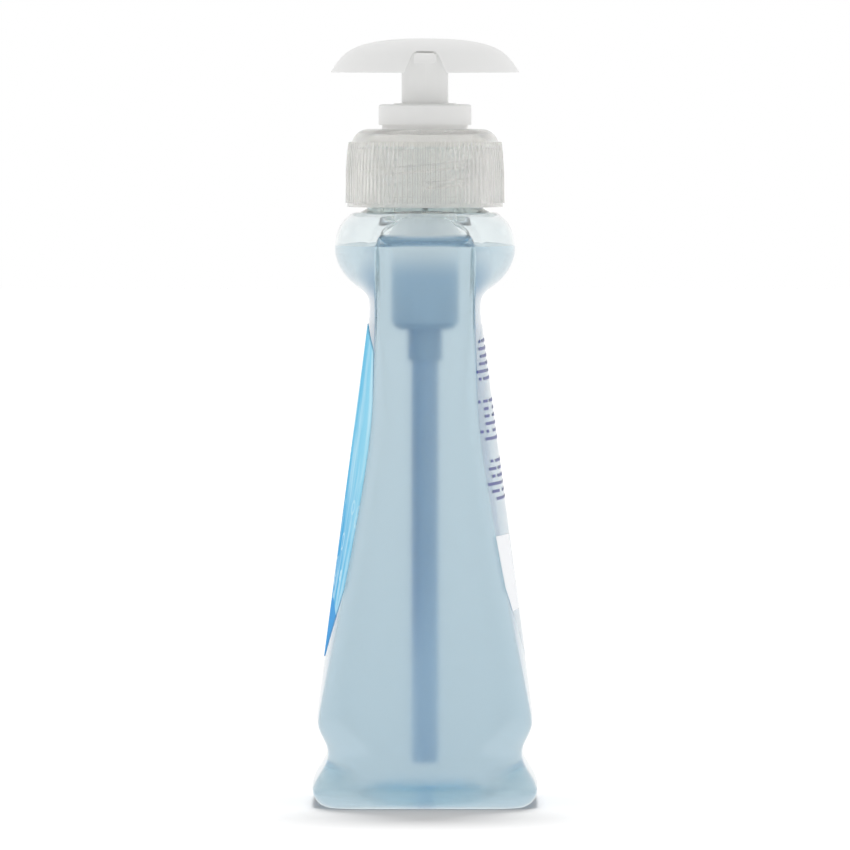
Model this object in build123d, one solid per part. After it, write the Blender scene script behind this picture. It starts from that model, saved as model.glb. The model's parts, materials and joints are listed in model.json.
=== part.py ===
"""Hand soap bottle with a push pump.

Millimetres. Origin at the middle of the base, +Z up. The bottle is wide along X and deep along Y,
its front label faces -Y, and the pump's nozzle points along +X.
"""
import math
import os

from build123d import *

# Bottle, heights stacked from the base upwards
HEEL_Z = 22.2             # corner between the base band and the flared body
BODY_RISE = 105.7         # from the heel to the middle of the waist curve
EAR_RISE = 14.7           # from the waist to the deepest part of the shoulder
SHOULDER_RISE = 8.1       # from there to the flat shoulder top
NECK_RISE = 16.7          # neck above the shoulder top
# Bottle, half depths and half widths
HEEL_HALF_DEPTH = 27.6
WAIST_HALF_DEPTH = 14.2
EAR_HALF_DEPTH = 23.25
EAR_UNDER_RADIUS = 13.0
WAIST_RADIUS = 3.5
PANEL_WAIST_HALF = 12.6   # half width of the flat side panel at the waist
PANEL_FLARE = 0.22        # how steeply the panel widens towards the base
PANEL_BEND_Z = 83.3       # height above the heel where the panel begins to widen
PANEL_BEND_RADIUS = 20.0
HEEL_HALF_WIDTH = 36.0
SIDE_LEAN = 0.08          # how much each side leans in per height
PANEL_EDGE_RADIUS = 1.2
HEEL_CORNER_RADIUS = 7.0
BASE_CORNER_RADIUS = 12.0
CORNER_BLEND_RISE = 21.6  # height above the heel where the corner has become tight
# Bottle, base band
BAND_OVER_HEEL = 1.2      # how much deeper the base band is than the heel
GROOVE_Z = 13.3
GROOVE_HALF_HEIGHT = 8.9
GROOVE_DEPTH = 3.9
BAND_SAG = 0.7            # how much the base band bows in plan
FOOT_RADIUS = 4.5
PUSHUP_LENGTH = 50.0
PUSHUP_WIDTH = 44.0
PUSHUP_RISE = 3.6
PUSHUP_SLOPE = 13.0       # how far the push-up narrows towards its top
WALL = 0.75
FLOOR = 1.2
# Bottle, shoulder dome and neck
SHOULDER_TOP_HALF = 18.5
DOME_OVERSIZE = 0.45      # the dome is this much deeper than the shoulder that it rounds off
DOME_DROP = 1.5           # height below the deepest part where the dome starts to turn in
DOME_STRETCH = 1.31       # the dome is an ellipse in plan, this much longer along X
NECK_RADIUS = 14.85
NECK_WALL = 1.6
BEAD_HEIGHT = 1.3
BEAD_OVER_CLOSURE_EDGE = 1.4
# Thread, two starts
THREAD_HEIGHT = 1.15
THREAD_LEAD = 8.8
THREAD_TURNS = 0.62
THREAD_ROOT_WIDTH = 2.2
THREAD_CREST_WIDTH = 1.1
THREAD_TOP_GAP = 1.2      # from the top of the thread to the neck's land
THREAD_CLEARANCE = 0.3
# Closure
CLOSURE_EDGE_GAP = 1.4    # between the shoulder top and the closure's lower edge
THREAD_SLEEVE_WALL = 1.3
SKIRT_GAP = 1.1           # hollow between the threaded sleeve and the outer skirt
SKIRT_WALL = 1.15
RIB_HEIGHT = 0.45
RIB_COUNT = 96
RIB_SHARE = 0.5           # share of the pitch that is rib
CLOSURE_PLAIN_BAND = 1.0
CLOSURE_TOP_WALL = 1.7
CLOSURE_CROWN = 3.3       # height of the rounded top above the ribs
CLOSURE_CROWN_IN = 4.2    # how far the rounded top draws in
CLOSURE_TAPER = 0.75      # how much narrower the ribs are at their top
CLOSURE_SEAT_GAP = 0.1
# Pump housing
GASKET_THICK = 1.0
FLANGE_THICK = 1.7
FLANGE_OVER_NECK = 0.45
BORE_RADIUS = 7.25
HOUSING_WALL = 1.25
HOUSING_DEPTH = 46.9      # from the neck's land down to the housing's underside
HOUSING_FLOOR = 2.0
HOUSING_NOSE = 1.6        # chamfer round the housing's underside
SOCKET_WALL = 1.0
SOCKET_DEPTH = 8.0
INLET_RADIUS = 1.7
VENT_RADIUS = 0.8
# Dip tube and soap
TUBE_RADIUS = 3.3
TUBE_WALL = 0.8
TUBE_FLOOR_GAP = 5.0      # between the tube's end and the top of the push-up
TUBE_END_GAP = 0.4
LEVEL_DROP = 0.3          # soap level below the deepest part of the shoulder
SOAP_GAP = 0.06
PUMP_SOAP_GAP = 0.2
# Valves and spring
INLET_BALL_RADIUS = 2.4
OUTLET_BALL_RADIUS = 1.9
BALL_SEAT_GAP = 0.03
BALL_SIDE_GAP = 0.5
BALL_LIFT = 1.5
SEAT_RING_THICK = 1.2
CAGE_WALL = 1.0
CAGE_BAR = 1.2
SPRING_WIRE_RADIUS = 0.5
SPRING_SIDE_GAP = 1.2     # between the spring's outside and the bore
SPRING_TURNS = 7
# Piston and stem
RUNNING_GAP = 0.05
PISTON_LENGTH = 9.0
PISTON_LIP = 2.2
PISTON_RELIEF = 0.9
STEM_RADIUS = 3.6
STEM_BORE_RADIUS = 1.5
STEM_CHAMBER_RADIUS = 2.3
STEM_CHAMBER_DEPTH = 9.0
STEM_FOOT_RADIUS = 6.0
STEM_FOOT_THICK = 1.4
STEM_PORT_RADIUS = 0.9
# Lock collar
COLLAR_RADIUS = 11.85
COLLAR_HEIGHT = 5.2
COLLAR_FOOT_RADIUS = 10.95
COLLAR_WALL = 1.3
COLLAR_OVER_CLOSURE = 1.1
COLLAR_EDGE = 0.7
COLLAR_LIP_HEIGHT = 0.3   # raised ring round the collar's hole
COLLAR_LIP_WIDTH = 1.7
COLLAR_TUBE_WALL = 0.9
COLLAR_PLUG_DEPTH = 8.8   # guide below the housing's flange
PLUG_GAP = 0.05
COLLAR_HOLE_GAP = 0.25
# Pump head
STROKE = 7.2
STROKE_SPARE = 0.8
HEAD_RISE = 8.2           # from the collar's top to the head's brim
HEAD_RADIUS = 24.15
HEAD_HEIGHT = 8.65
HEAD_WALL = 1.6
HEAD_CROWN_IN = 4.75
HEAD_BRIM_IN = 3.4
HEAD_BRIM_RISE = 5.0
SLEEVE_RADIUS = 5.95
SLEEVE_GAP = 0.35
SLEEVE_DIP = 2.1          # how far the sleeve reaches into the collar at rest
NOTCH_WIDTH = 10.7
NOTCH_TOP_WIDTH = 6.1
NOTCH_HEIGHT = 5.5
NOTCH_CORNER = 2.0
DUCT_WIDTH = 5.6
DUCT_HEIGHT = 2.5
DUCT_WALL = 0.55
DUCT_Z = 3.75             # middle of the duct above the brim
DUCT_OVERHANG = 0.8       # how far the duct passes the brim
DUCT_CORNER = 0.8
TIP_WALL = 1.2            # wall that closes the duct's front
TIP_RECESS = 0.3          # sunk panel in that wall
MOUTH_LENGTH = 3.0        # outlet under the duct, behind its front wall
HEAD_RIB_THICK = 1.2
# Labels
LABEL_THICK = 0.12
LABEL_GLUE_GAP = 0.02
LABEL_MARGIN = 2.0
LABEL_FOOT_GAP = 15.0     # heel to the label's lowest point
LABEL_FOOT_RISE = 19.0    # how far its lower edge climbs at the sides
LABEL_HEAD_GAP = 5.7      # waist to the label's highest point
LABEL_HEAD_DROP = 6.5

BAND_HALF_DEPTH = HEEL_HALF_DEPTH + BAND_OVER_HEEL
WAIST_Z = HEEL_Z + BODY_RISE
EAR_Z = WAIST_Z + EAR_RISE
SHOULDER_Z = EAR_Z + SHOULDER_RISE
LAND_Z = SHOULDER_Z + NECK_RISE
FLANGE_Z = LAND_Z + GASKET_THICK
FLANGE_TOP_Z = FLANGE_Z + FLANGE_THICK
CLOSURE_Z = SHOULDER_Z + CLOSURE_EDGE_GAP
CEILING_Z = FLANGE_TOP_Z + CLOSURE_SEAT_GAP
CLOSURE_TOP_Z = CEILING_Z + CLOSURE_TOP_WALL
COLLAR_Z = CLOSURE_TOP_Z + COLLAR_OVER_CLOSURE
COLLAR_TOP_Z = COLLAR_Z + COLLAR_HEIGHT
BRIM_Z = COLLAR_TOP_Z + HEAD_RISE
HOUSING_Z = LAND_Z - HOUSING_DEPTH
HOUSING_FLOOR_Z = HOUSING_Z + HOUSING_FLOOR
HOUSING_RADIUS = BORE_RADIUS + HOUSING_WALL
SOCKET_RADIUS = TUBE_RADIUS + SOCKET_WALL
PUSHUP_TOP_Z = FLOOR + PUSHUP_RISE
LEVEL_Z = EAR_Z - LEVEL_DROP
PLUG_Z = FLANGE_TOP_Z - FLANGE_THICK - COLLAR_PLUG_DEPTH
PISTON_TOP_Z = PLUG_Z - 0.3
PISTON_Z = PISTON_TOP_Z - PISTON_LENGTH
STEM_Z = PISTON_Z - RUNNING_GAP - STEM_FOOT_THICK
SEAT_TOP_Z = HOUSING_FLOOR_Z + SEAT_RING_THICK
SLEEVE_Z = COLLAR_TOP_Z - SLEEVE_DIP
STEM_TOP_Z = BRIM_Z + DUCT_Z - DUCT_HEIGHT / 2
THREAD_RADIUS = NECK_RADIUS + THREAD_HEIGHT
CLOSURE_BORE_RADIUS = THREAD_RADIUS + THREAD_CLEARANCE
SKIRT_BORE_RADIUS = CLOSURE_BORE_RADIUS + THREAD_SLEEVE_WALL + SKIRT_GAP
CLOSURE_RADIUS = SKIRT_BORE_RADIUS + SKIRT_WALL + RIB_HEIGHT


def ring(outer, inner, low, high):
    """Plain tube between two heights."""
    tube = Cylinder(outer, high - low, align=(Align.CENTER, Align.CENTER, Align.MIN))
    tube -= Cylinder(inner, high - low, align=(Align.CENTER, Align.CENTER, Align.MIN))
    return Pos(0, 0, low) * tube


def disc(radius, low, high):
    """Plain round bar between two heights."""
    return Pos(0, 0, low) * Cylinder(radius, high - low, align=(Align.CENTER, Align.CENTER, Align.MIN))


def turned(*points):
    """Solid of revolution about Z from (radius, height) corners."""
    return revolve(Plane.XZ * make_face(Polyline(*points, close=True)), Axis.Z)


def half_width(z):
    """Half the bottle's width at a height: the two sides lean in evenly."""
    return HEEL_HALF_WIDTH - (z - HEEL_Z) * SIDE_LEAN


def middle_half_depth(z):
    """Half the bottle's depth on its centre line: taper, waist curve and round shoulder."""
    if z < HEEL_Z:
        wave = (1 + math.cos(math.pi * (z - GROOVE_Z) / GROOVE_HALF_HEIGHT)) / 2
        reach = min(max((HEEL_Z - z) / (HEEL_Z - GROOVE_Z), 0), 1)
        plain = HEEL_HALF_DEPTH + (BAND_HALF_DEPTH - HEEL_HALF_DEPTH) * reach
        return plain - GROOVE_DEPTH * wave * (abs(z - GROOVE_Z) < GROOVE_HALF_HEIGHT)
    ear_centre = EAR_HALF_DEPTH - EAR_UNDER_RADIUS
    reach = EAR_UNDER_RADIUS + WAIST_RADIUS
    curve_z = EAR_Z - math.sqrt(reach**2 - (WAIST_HALF_DEPTH + WAIST_RADIUS - ear_centre) ** 2)
    meet_z = curve_z + (EAR_Z - curve_z) * WAIST_RADIUS / reach
    if z >= EAR_Z:
        return EAR_HALF_DEPTH
    if z >= meet_z:
        return ear_centre + math.sqrt(EAR_UNDER_RADIUS**2 - (EAR_Z - z) ** 2)
    if z >= curve_z:
        return WAIST_HALF_DEPTH + WAIST_RADIUS - math.sqrt(WAIST_RADIUS**2 - (z - curve_z) ** 2)
    lean = (HEEL_HALF_DEPTH - WAIST_HALF_DEPTH) / (BODY_RISE - WAIST_RADIUS)
    return max(WAIST_HALF_DEPTH, HEEL_HALF_DEPTH - (z - HEEL_Z) * lean)


def panel_half(z):
    """Half the depth of the flat side panel: straight at the waist, flaring below."""
    if z < HEEL_Z:
        return middle_half_depth(z) - BAND_SAG
    below = max(HEEL_Z + PANEL_BEND_Z - z, 0)
    flare = math.hypot(below, PANEL_BEND_RADIUS) - PANEL_BEND_RADIUS
    return min(PANEL_WAIST_HALF + PANEL_FLARE * flare, middle_half_depth(z) - BAND_SAG)


def corner_radius(z):
    """Plan radius between the panel and the front: tight above, generous at the base."""
    if z < HEEL_Z:
        reach = min((HEEL_Z - z) / (HEEL_Z - GROOVE_Z), 1)
        return HEEL_CORNER_RADIUS + (BASE_CORNER_RADIUS - HEEL_CORNER_RADIUS) * reach
    reach = max(1 - (z - HEEL_Z) / CORNER_BLEND_RISE, 0)
    return PANEL_EDGE_RADIUS + (HEEL_CORNER_RADIUS - PANEL_EDGE_RADIUS) * reach


def bottle_section(z, inset):
    """Level section of the bottle: two flat panels and two bowed faces with rounded corners."""
    wide, deep, flat = half_width(z) - inset, middle_half_depth(z) - inset, panel_half(z) - inset
    outline = Line((wide, -flat), (wide, flat))
    outline += ThreePointArc((wide, flat), (0, deep), (-wide, flat))
    outline += Line((-wide, flat), (-wide, -flat))
    outline += ThreePointArc((-wide, -flat), (0, -deep), (wide, -flat))
    face = make_face(outline)
    return Pos(0, 0, z) * fillet(face.vertices(), max(corner_radius(z) - inset, 0.4))


def bottle_loft(inset, floor):
    """Rounded foot, grooved base band, flared body and shoulder: one loft from the floor up."""
    turn = FOOT_RADIUS - inset
    angles = [math.radians(angle) for angle in (0, 22, 45, 68, 90)]
    foot = [(floor + turn * (1 - math.cos(angle)), inset + turn * (1 - math.sin(angle))) for angle in angles]
    band = HEEL_Z - floor - turn
    base = [floor + turn + band * step for step in (0.13, 0.26, 0.39, 0.52, 0.65, 0.78, 0.92)]
    low = [HEEL_Z + BODY_RISE * step for step in (0.015, 0.05, 0.1, 0.21, 0.34, 0.49, 0.65, 0.8, 0.92)]
    high = [WAIST_Z + EAR_RISE * step for step in (-0.17, 0.03, 0.17, 0.3, 0.5, 0.76, 1.0)]
    top = [EAR_Z + SHOULDER_RISE * step for step in (0.6, 1.3)]
    return loft([bottle_section(z, away) for z, away in foot + [(z, inset) for z in base + low + high + top]])


def shoulder_trim(inset):
    """What is cut away above the shoulder to leave its top as an oval dome."""
    radius, top, start = EAR_HALF_DEPTH + DOME_OVERSIZE - inset, SHOULDER_Z - inset, EAR_Z - DOME_DROP
    side = Line((0, start), (radius, start))
    turn = TangentArc((radius, start), (SHOULDER_TOP_HALF, top), tangent=(0, 1))
    lid = Line((SHOULDER_TOP_HALF, top), (0, top)) + Line((0, top), (0, start))
    dome = scale(revolve(Plane.XZ * make_face(side + turn + lid), Axis.Z), by=(DOME_STRETCH, 1, 1))
    size = 4 * HEEL_HALF_WIDTH
    return Pos(0, 0, start) * Box(size, size, size, align=(Align.CENTER, Align.CENTER, Align.MIN)) - dome


def envelope(inset, floor):
    """The bottle's outside (inset 0) or its hollow (inset one wall), without the neck."""
    return bottle_loft(inset, floor) - shoulder_trim(inset)


def pushup(rise, grow):
    """Oval push-up under the base, grown by a wall for the inside of the floor."""
    low = Ellipse(PUSHUP_LENGTH / 2 + grow, PUSHUP_WIDTH / 2 + grow)
    high = Ellipse(PUSHUP_LENGTH / 2 + grow - PUSHUP_SLOPE, PUSHUP_WIDTH / 2 + grow - PUSHUP_SLOPE)
    return loft([low, Pos(0, 0, rise) * high])


def thread_ridge(root, height, low, turns, start):
    """One start of a thread; a negative height makes an inside thread."""
    buried = math.copysign(0.25, height)
    rise = THREAD_LEAD * turns
    side = Polyline(
        (root - buried, -THREAD_ROOT_WIDTH / 2),
        (root + height, -THREAD_CREST_WIDTH / 2),
        (root + height, THREAD_CREST_WIDTH / 2),
        (root - buried, THREAD_ROOT_WIDTH / 2),
        close=True,
    )
    path = Helix(THREAD_LEAD, rise, root)
    ridge = sweep(Plane.XZ * make_face(side), path=path, is_frenet=True)
    return Pos(0, 0, low) * Rot(0, 0, start) * ridge


def thread_low():
    """Height of the middle of the neck thread's lower end."""
    return LAND_Z - THREAD_TOP_GAP - THREAD_ROOT_WIDTH / 2 - THREAD_LEAD * THREAD_TURNS


def hollow(gap):
    """Inside of the bottle below the neck, smaller by a gap all round."""
    inside = envelope(WALL + gap, FLOOR + gap)
    return inside - pushup(PUSHUP_TOP_Z + gap, WALL + gap)


def make_bottle():
    """Blow-moulded bottle with neck, bead and two-start thread."""
    neck = disc(NECK_RADIUS, EAR_Z, LAND_Z)
    bead = CLOSURE_Z + BEAD_OVER_CLOSURE_EDGE
    bottle = envelope(0, 0) + neck + disc(THREAD_RADIUS, bead, bead + BEAD_HEIGHT)
    bottle -= hollow(0)
    bottle -= disc(NECK_RADIUS - NECK_WALL, EAR_Z, LAND_Z)
    bottle -= pushup(PUSHUP_RISE, 0)
    for start in (0, 180):
        bottle += thread_ridge(NECK_RADIUS, THREAD_HEIGHT, thread_low(), THREAD_TURNS, start)
    return bottle


def make_soap():
    """Liquid fill up to its level, with room for the pump."""
    soap = hollow(SOAP_GAP)
    soap &= Pos(0, 0, LEVEL_Z / 2) * Box(200, 200, LEVEL_Z)
    soap -= disc(HOUSING_RADIUS + PUMP_SOAP_GAP, HOUSING_Z - PUMP_SOAP_GAP, LEVEL_Z)
    soap -= disc(SOCKET_RADIUS + PUMP_SOAP_GAP, HOUSING_Z - SOCKET_DEPTH - PUMP_SOAP_GAP, LEVEL_Z)
    return soap - disc(TUBE_RADIUS + PUMP_SOAP_GAP, PUSHUP_TOP_Z + TUBE_FLOOR_GAP - PUMP_SOAP_GAP, LEVEL_Z)


def make_label(side):
    """Thin film on the front (side -1) or the back (side 1), a shield between the panel edges."""
    low, high = HEEL_Z + LABEL_FOOT_GAP, WAIST_Z - LABEL_HEAD_GAP
    side_low, side_high = low + LABEL_FOOT_RISE, high - LABEL_HEAD_DROP
    wide_low, wide_high = half_width(side_low) - LABEL_MARGIN, half_width(side_high) - LABEL_MARGIN
    outline = Line((wide_low, side_low), (wide_high, side_high))
    outline += ThreePointArc((wide_high, side_high), (0, high), (-wide_high, side_high))
    outline += Line((-wide_high, side_high), (-wide_low, side_low))
    outline += ThreePointArc((-wide_low, side_low), (0, low), (wide_low, side_low))
    stamp = extrude(Plane.XZ * make_face(outline), amount=-2 * HEEL_HALF_DEPTH * side)
    film = bottle_loft(-LABEL_GLUE_GAP - LABEL_THICK, 0) & stamp
    return film - bottle_loft(-LABEL_GLUE_GAP, 0)


def rib_outline(tip):
    """Toothed outline of the ribbed skirt: each rib rises and falls over part of its pitch."""
    root = tip - RIB_HEIGHT
    points = []
    for rib in range(RIB_COUNT):
        for share, radius in ((0, root), (0.15, tip), (RIB_SHARE, tip), (RIB_SHARE + 0.15, root)):
            angle = 2 * math.pi * (rib + share) / RIB_COUNT
            points.append((radius * math.cos(angle), radius * math.sin(angle)))
    return make_face(Polyline(*points, close=True))


def closure_outside():
    """Plain band, slightly barrelled ribs and a rounded crown, all solid."""
    band_top, rib_top = CLOSURE_Z + CLOSURE_PLAIN_BAND, CLOSURE_TOP_Z - CLOSURE_CROWN
    stages = ((0, 0), (0.5, 0.08), (0.8, 0.5), (1, 1))
    outlines = [
        Pos(0, 0, band_top + (rib_top - band_top) * up) * rib_outline(CLOSURE_RADIUS - CLOSURE_TAPER * draw)
        for up, draw in stages
    ]
    crown = CLOSURE_RADIUS - CLOSURE_TAPER - 2 * RIB_HEIGHT
    flat = (crown - CLOSURE_CROWN_IN, CLOSURE_TOP_Z)
    side = TangentArc(flat, (crown, rib_top), tangent=(1, 0))
    side += Polyline((crown, rib_top), (0, rib_top), (0, CLOSURE_TOP_Z), flat)
    top = revolve(Plane.XZ * make_face(side), Axis.Z)
    return disc(CLOSURE_RADIUS - RIB_HEIGHT, CLOSURE_Z, band_top) + loft(outlines, ruled=True) + top


def make_closure():
    """Screw closure: ribbed skirt, hollow behind it, threaded sleeve and a rounded top."""
    closure = closure_outside()
    closure -= disc(CLOSURE_BORE_RADIUS, CLOSURE_Z, CEILING_Z)
    closure -= disc(COLLAR_FOOT_RADIUS + COLLAR_HOLE_GAP, CEILING_Z, CLOSURE_TOP_Z)
    gap_top = CLOSURE_TOP_Z - CLOSURE_CROWN - CLOSURE_TOP_WALL
    closure -= ring(SKIRT_BORE_RADIUS, CLOSURE_BORE_RADIUS + THREAD_SLEEVE_WALL, CLOSURE_Z, gap_top)
    low = thread_low() - (THREAD_ROOT_WIDTH + THREAD_CREST_WIDTH) / 2 - THREAD_CLEARANCE
    for start in (0, 180):
        closure += thread_ridge(CLOSURE_BORE_RADIUS, -THREAD_HEIGHT, low, THREAD_TURNS, start)
    return closure


def make_neck_gasket():
    """Foam ring on the neck's land."""
    return ring(NECK_RADIUS + FLANGE_OVER_NECK, NECK_RADIUS - NECK_WALL, LAND_Z, FLANGE_Z)


def make_pump_housing():
    """Pump cylinder with flange, inlet seat and tube socket."""
    body = disc(NECK_RADIUS + FLANGE_OVER_NECK, FLANGE_Z, FLANGE_TOP_Z)
    barrel = disc(HOUSING_RADIUS, HOUSING_Z, FLANGE_Z)
    body += chamfer(barrel.edges().sort_by(Axis.Z)[0], HOUSING_NOSE)
    body += disc(SOCKET_RADIUS, HOUSING_Z - SOCKET_DEPTH, HOUSING_Z + 0.5)
    body -= disc(BORE_RADIUS, HOUSING_FLOOR_Z, FLANGE_TOP_Z)
    body -= disc(TUBE_RADIUS, HOUSING_Z - SOCKET_DEPTH, HOUSING_Z)
    body -= disc(INLET_RADIUS, HOUSING_Z, HOUSING_FLOOR_Z)
    vent = Rot(0, 90, 0) * Cylinder(VENT_RADIUS, 2 * HOUSING_RADIUS)
    return body - Pos(HOUSING_RADIUS, 0, PISTON_Z + PISTON_LENGTH / 2) * vent


def make_dip_tube():
    """Straight tube from the socket to just above the floor."""
    return ring(TUBE_RADIUS, TUBE_RADIUS - TUBE_WALL, PUSHUP_TOP_Z + TUBE_FLOOR_GAP, HOUSING_Z - TUBE_END_GAP)


def inlet_ball_z():
    """Height of the ball that rests in the edge of the inlet."""
    return HOUSING_FLOOR_Z + math.sqrt((INLET_BALL_RADIUS + BALL_SEAT_GAP) ** 2 - INLET_RADIUS**2)


def make_inlet_ball():
    """Ball of the inlet valve."""
    return Pos(0, 0, inlet_ball_z()) * Sphere(INLET_BALL_RADIUS)


def make_spring_seat():
    """Ring on the housing's floor with a barred cage over the ball."""
    inner = INLET_BALL_RADIUS + BALL_SIDE_GAP
    roof = inlet_ball_z() + INLET_BALL_RADIUS + BALL_LIFT
    seat = ring(BORE_RADIUS - RUNNING_GAP, inner, HOUSING_FLOOR_Z, SEAT_TOP_Z)
    seat += ring(inner + CAGE_WALL, inner, HOUSING_FLOOR_Z, roof + CAGE_BAR)
    for turn in (0, 90):
        bar = Box(2 * inner + CAGE_WALL, CAGE_BAR, CAGE_BAR, align=(Align.CENTER, Align.CENTER, Align.MIN))
        seat += Pos(0, 0, roof) * Rot(0, 0, turn) * bar
    return seat


def make_return_spring():
    """Compression spring between the seat ring and the stem's foot."""
    radius = BORE_RADIUS - SPRING_SIDE_GAP - SPRING_WIRE_RADIUS
    low, high = SEAT_TOP_Z + SPRING_WIRE_RADIUS, STEM_Z - SPRING_WIRE_RADIUS
    path = Helix((high - low) / SPRING_TURNS, high - low, radius)
    wire = Plane(path @ 0, z_dir=path % 0) * Circle(SPRING_WIRE_RADIUS)
    return Pos(0, 0, low) * sweep(wire, path=path, is_frenet=True)


def make_piston():
    """Piston with a lip at each end and a relief between them."""
    lip, waist, bore = BORE_RADIUS - RUNNING_GAP, BORE_RADIUS - PISTON_RELIEF, STEM_RADIUS + RUNNING_GAP
    return turned(
        (bore, PISTON_Z),
        (lip, PISTON_Z),
        (lip, PISTON_Z + PISTON_LIP),
        (waist, PISTON_Z + PISTON_LIP + PISTON_RELIEF),
        (waist, PISTON_TOP_Z - PISTON_LIP - PISTON_RELIEF),
        (lip, PISTON_TOP_Z - PISTON_LIP),
        (lip, PISTON_TOP_Z),
        (bore, PISTON_TOP_Z),
    )


def make_stem():
    """Hollow rod with a foot under the piston, two inlet ports and a valve chamber at its top."""
    foot_top = STEM_Z + STEM_FOOT_THICK
    stem = disc(STEM_FOOT_RADIUS, STEM_Z, foot_top) + disc(STEM_RADIUS, foot_top, STEM_TOP_Z)
    stem -= disc(STEM_BORE_RADIUS, foot_top, STEM_TOP_Z)
    stem -= disc(STEM_CHAMBER_RADIUS, STEM_TOP_Z - STEM_CHAMBER_DEPTH, STEM_TOP_Z)
    port = Rot(0, 90, 0) * Cylinder(STEM_PORT_RADIUS, 3 * STEM_RADIUS)
    return stem - Pos(0, 0, foot_top + 3 * STEM_PORT_RADIUS) * port


def make_outlet_ball():
    """Ball of the outlet valve, resting on the step in the stem."""
    rest = math.sqrt((OUTLET_BALL_RADIUS + BALL_SEAT_GAP) ** 2 - STEM_BORE_RADIUS**2)
    return Pos(0, 0, STEM_TOP_Z - STEM_CHAMBER_DEPTH + rest) * Sphere(OUTLET_BALL_RADIUS)


def make_lock_collar():
    """White ring above the closure with a guide tube pressed into the housing."""
    bore, tube = SLEEVE_RADIUS + SLEEVE_GAP, SLEEVE_RADIUS + SLEEVE_GAP + COLLAR_TUBE_WALL
    plug = BORE_RADIUS - PLUG_GAP
    guide_top = SLEEVE_Z - STROKE - STROKE_SPARE
    collar = ring(COLLAR_RADIUS, COLLAR_RADIUS - COLLAR_WALL, COLLAR_Z, COLLAR_TOP_Z)
    collar = collar + disc(COLLAR_RADIUS, COLLAR_TOP_Z - COLLAR_WALL, COLLAR_TOP_Z)
    foot_in = COLLAR_FOOT_RADIUS - COLLAR_WALL
    collar += ring(COLLAR_FOOT_RADIUS, foot_in, FLANGE_TOP_Z, COLLAR_Z + COLLAR_WALL)
    rim = collar.edges().filter_by(GeomType.CIRCLE).sort_by(Axis.Z)[-1]
    collar = fillet(rim, COLLAR_EDGE)
    collar += disc(bore + COLLAR_LIP_WIDTH, COLLAR_TOP_Z - COLLAR_WALL / 2, COLLAR_TOP_Z + COLLAR_LIP_HEIGHT)
    collar += disc(min(tube, plug), PLUG_Z, COLLAR_TOP_Z)
    collar -= disc(bore, guide_top, COLLAR_TOP_Z + COLLAR_LIP_HEIGHT)
    return collar - disc(STEM_RADIUS + RUNNING_GAP, PLUG_Z, guide_top)


def dome_side(radius, height):
    """Outline of the head's dome from its crown to its brim."""
    return Bezier(
        (0, height),
        (radius - HEAD_CROWN_IN, height),
        (radius - HEAD_BRIM_IN, HEAD_BRIM_RISE),
        (radius, 0),
    )


def dome(radius, height):
    """Solid dome standing on the brim."""
    side = dome_side(radius, height) + Line((radius, 0), (0, 0)) + Line((0, 0), (0, height))
    return revolve(Plane.XZ * make_face(side), Axis.Z)


def make_pump_head():
    """Push head: thin dome, notched at the front, with a centre sleeve and a flat duct that opens below."""
    shell = dome(HEAD_RADIUS, HEAD_HEIGHT) - dome(HEAD_RADIUS - HEAD_WALL, HEAD_HEIGHT - HEAD_WALL)
    shell = Rot(0, 0, 45) * shell
    low, high = NOTCH_WIDTH / 2, NOTCH_TOP_WIDTH / 2
    notch = make_face(Polyline((-low, -1), (-low, 0), (-high, NOTCH_HEIGHT), (high, NOTCH_HEIGHT), (low, 0),
                               (low, -1), close=True))
    notch = fillet(notch.vertices().sort_by(Axis.Y)[-2:], NOTCH_CORNER)
    shell -= extrude(Plane.YZ * notch, amount=2 * HEAD_RADIUS)
    filled = dome(HEAD_RADIUS - HEAD_WALL / 2, HEAD_HEIGHT - HEAD_WALL / 2)
    for turn in (90, 180, 270):
        reach = HEAD_RADIUS - HEAD_BRIM_IN - HEAD_WALL
        rib = Pos(reach / 2, 0, HEAD_HEIGHT / 2 + DUCT_Z) * Box(reach, HEAD_RIB_THICK, HEAD_HEIGHT)
        shell += Rot(0, 0, turn) * rib & filled
    hub = disc(SLEEVE_RADIUS, SLEEVE_Z - BRIM_Z, HEAD_HEIGHT - HEAD_WALL / 2)
    end = HEAD_RADIUS + DUCT_OVERHANG
    duct = Pos(end / 2, 0, DUCT_Z) * Box(end, DUCT_WIDTH, DUCT_HEIGHT)
    duct = fillet(duct.edges().filter_by(Axis.X).group_by(Axis.Z)[-1], DUCT_CORNER)
    head = shell + hub + duct
    bore, bore_width = end - TIP_WALL, DUCT_WIDTH - 2 * DUCT_WALL
    head -= Pos(bore / 2, 0, DUCT_Z) * Box(bore, bore_width, DUCT_HEIGHT - 2 * DUCT_WALL)
    mouth = Box(MOUTH_LENGTH, bore_width, DUCT_HEIGHT)
    head -= Pos(bore - MOUTH_LENGTH / 2, 0, DUCT_Z - DUCT_HEIGHT / 2) * mouth
    panel = Box(2 * TIP_RECESS, DUCT_WIDTH - DUCT_WALL, DUCT_HEIGHT - DUCT_WALL)
    panel = fillet(panel.edges().filter_by(Axis.X).group_by(Axis.Z)[-1], DUCT_CORNER - DUCT_WALL / 2)
    head -= Pos(end, 0, DUCT_Z) * panel
    stem_top = STEM_TOP_Z - BRIM_Z
    head -= disc(STEM_RADIUS, SLEEVE_Z - BRIM_Z, stem_top)
    head -= disc(STEM_CHAMBER_RADIUS, stem_top, DUCT_Z + DUCT_HEIGHT / 2 - DUCT_WALL)
    return Pos(0, 0, BRIM_Z) * head


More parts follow.
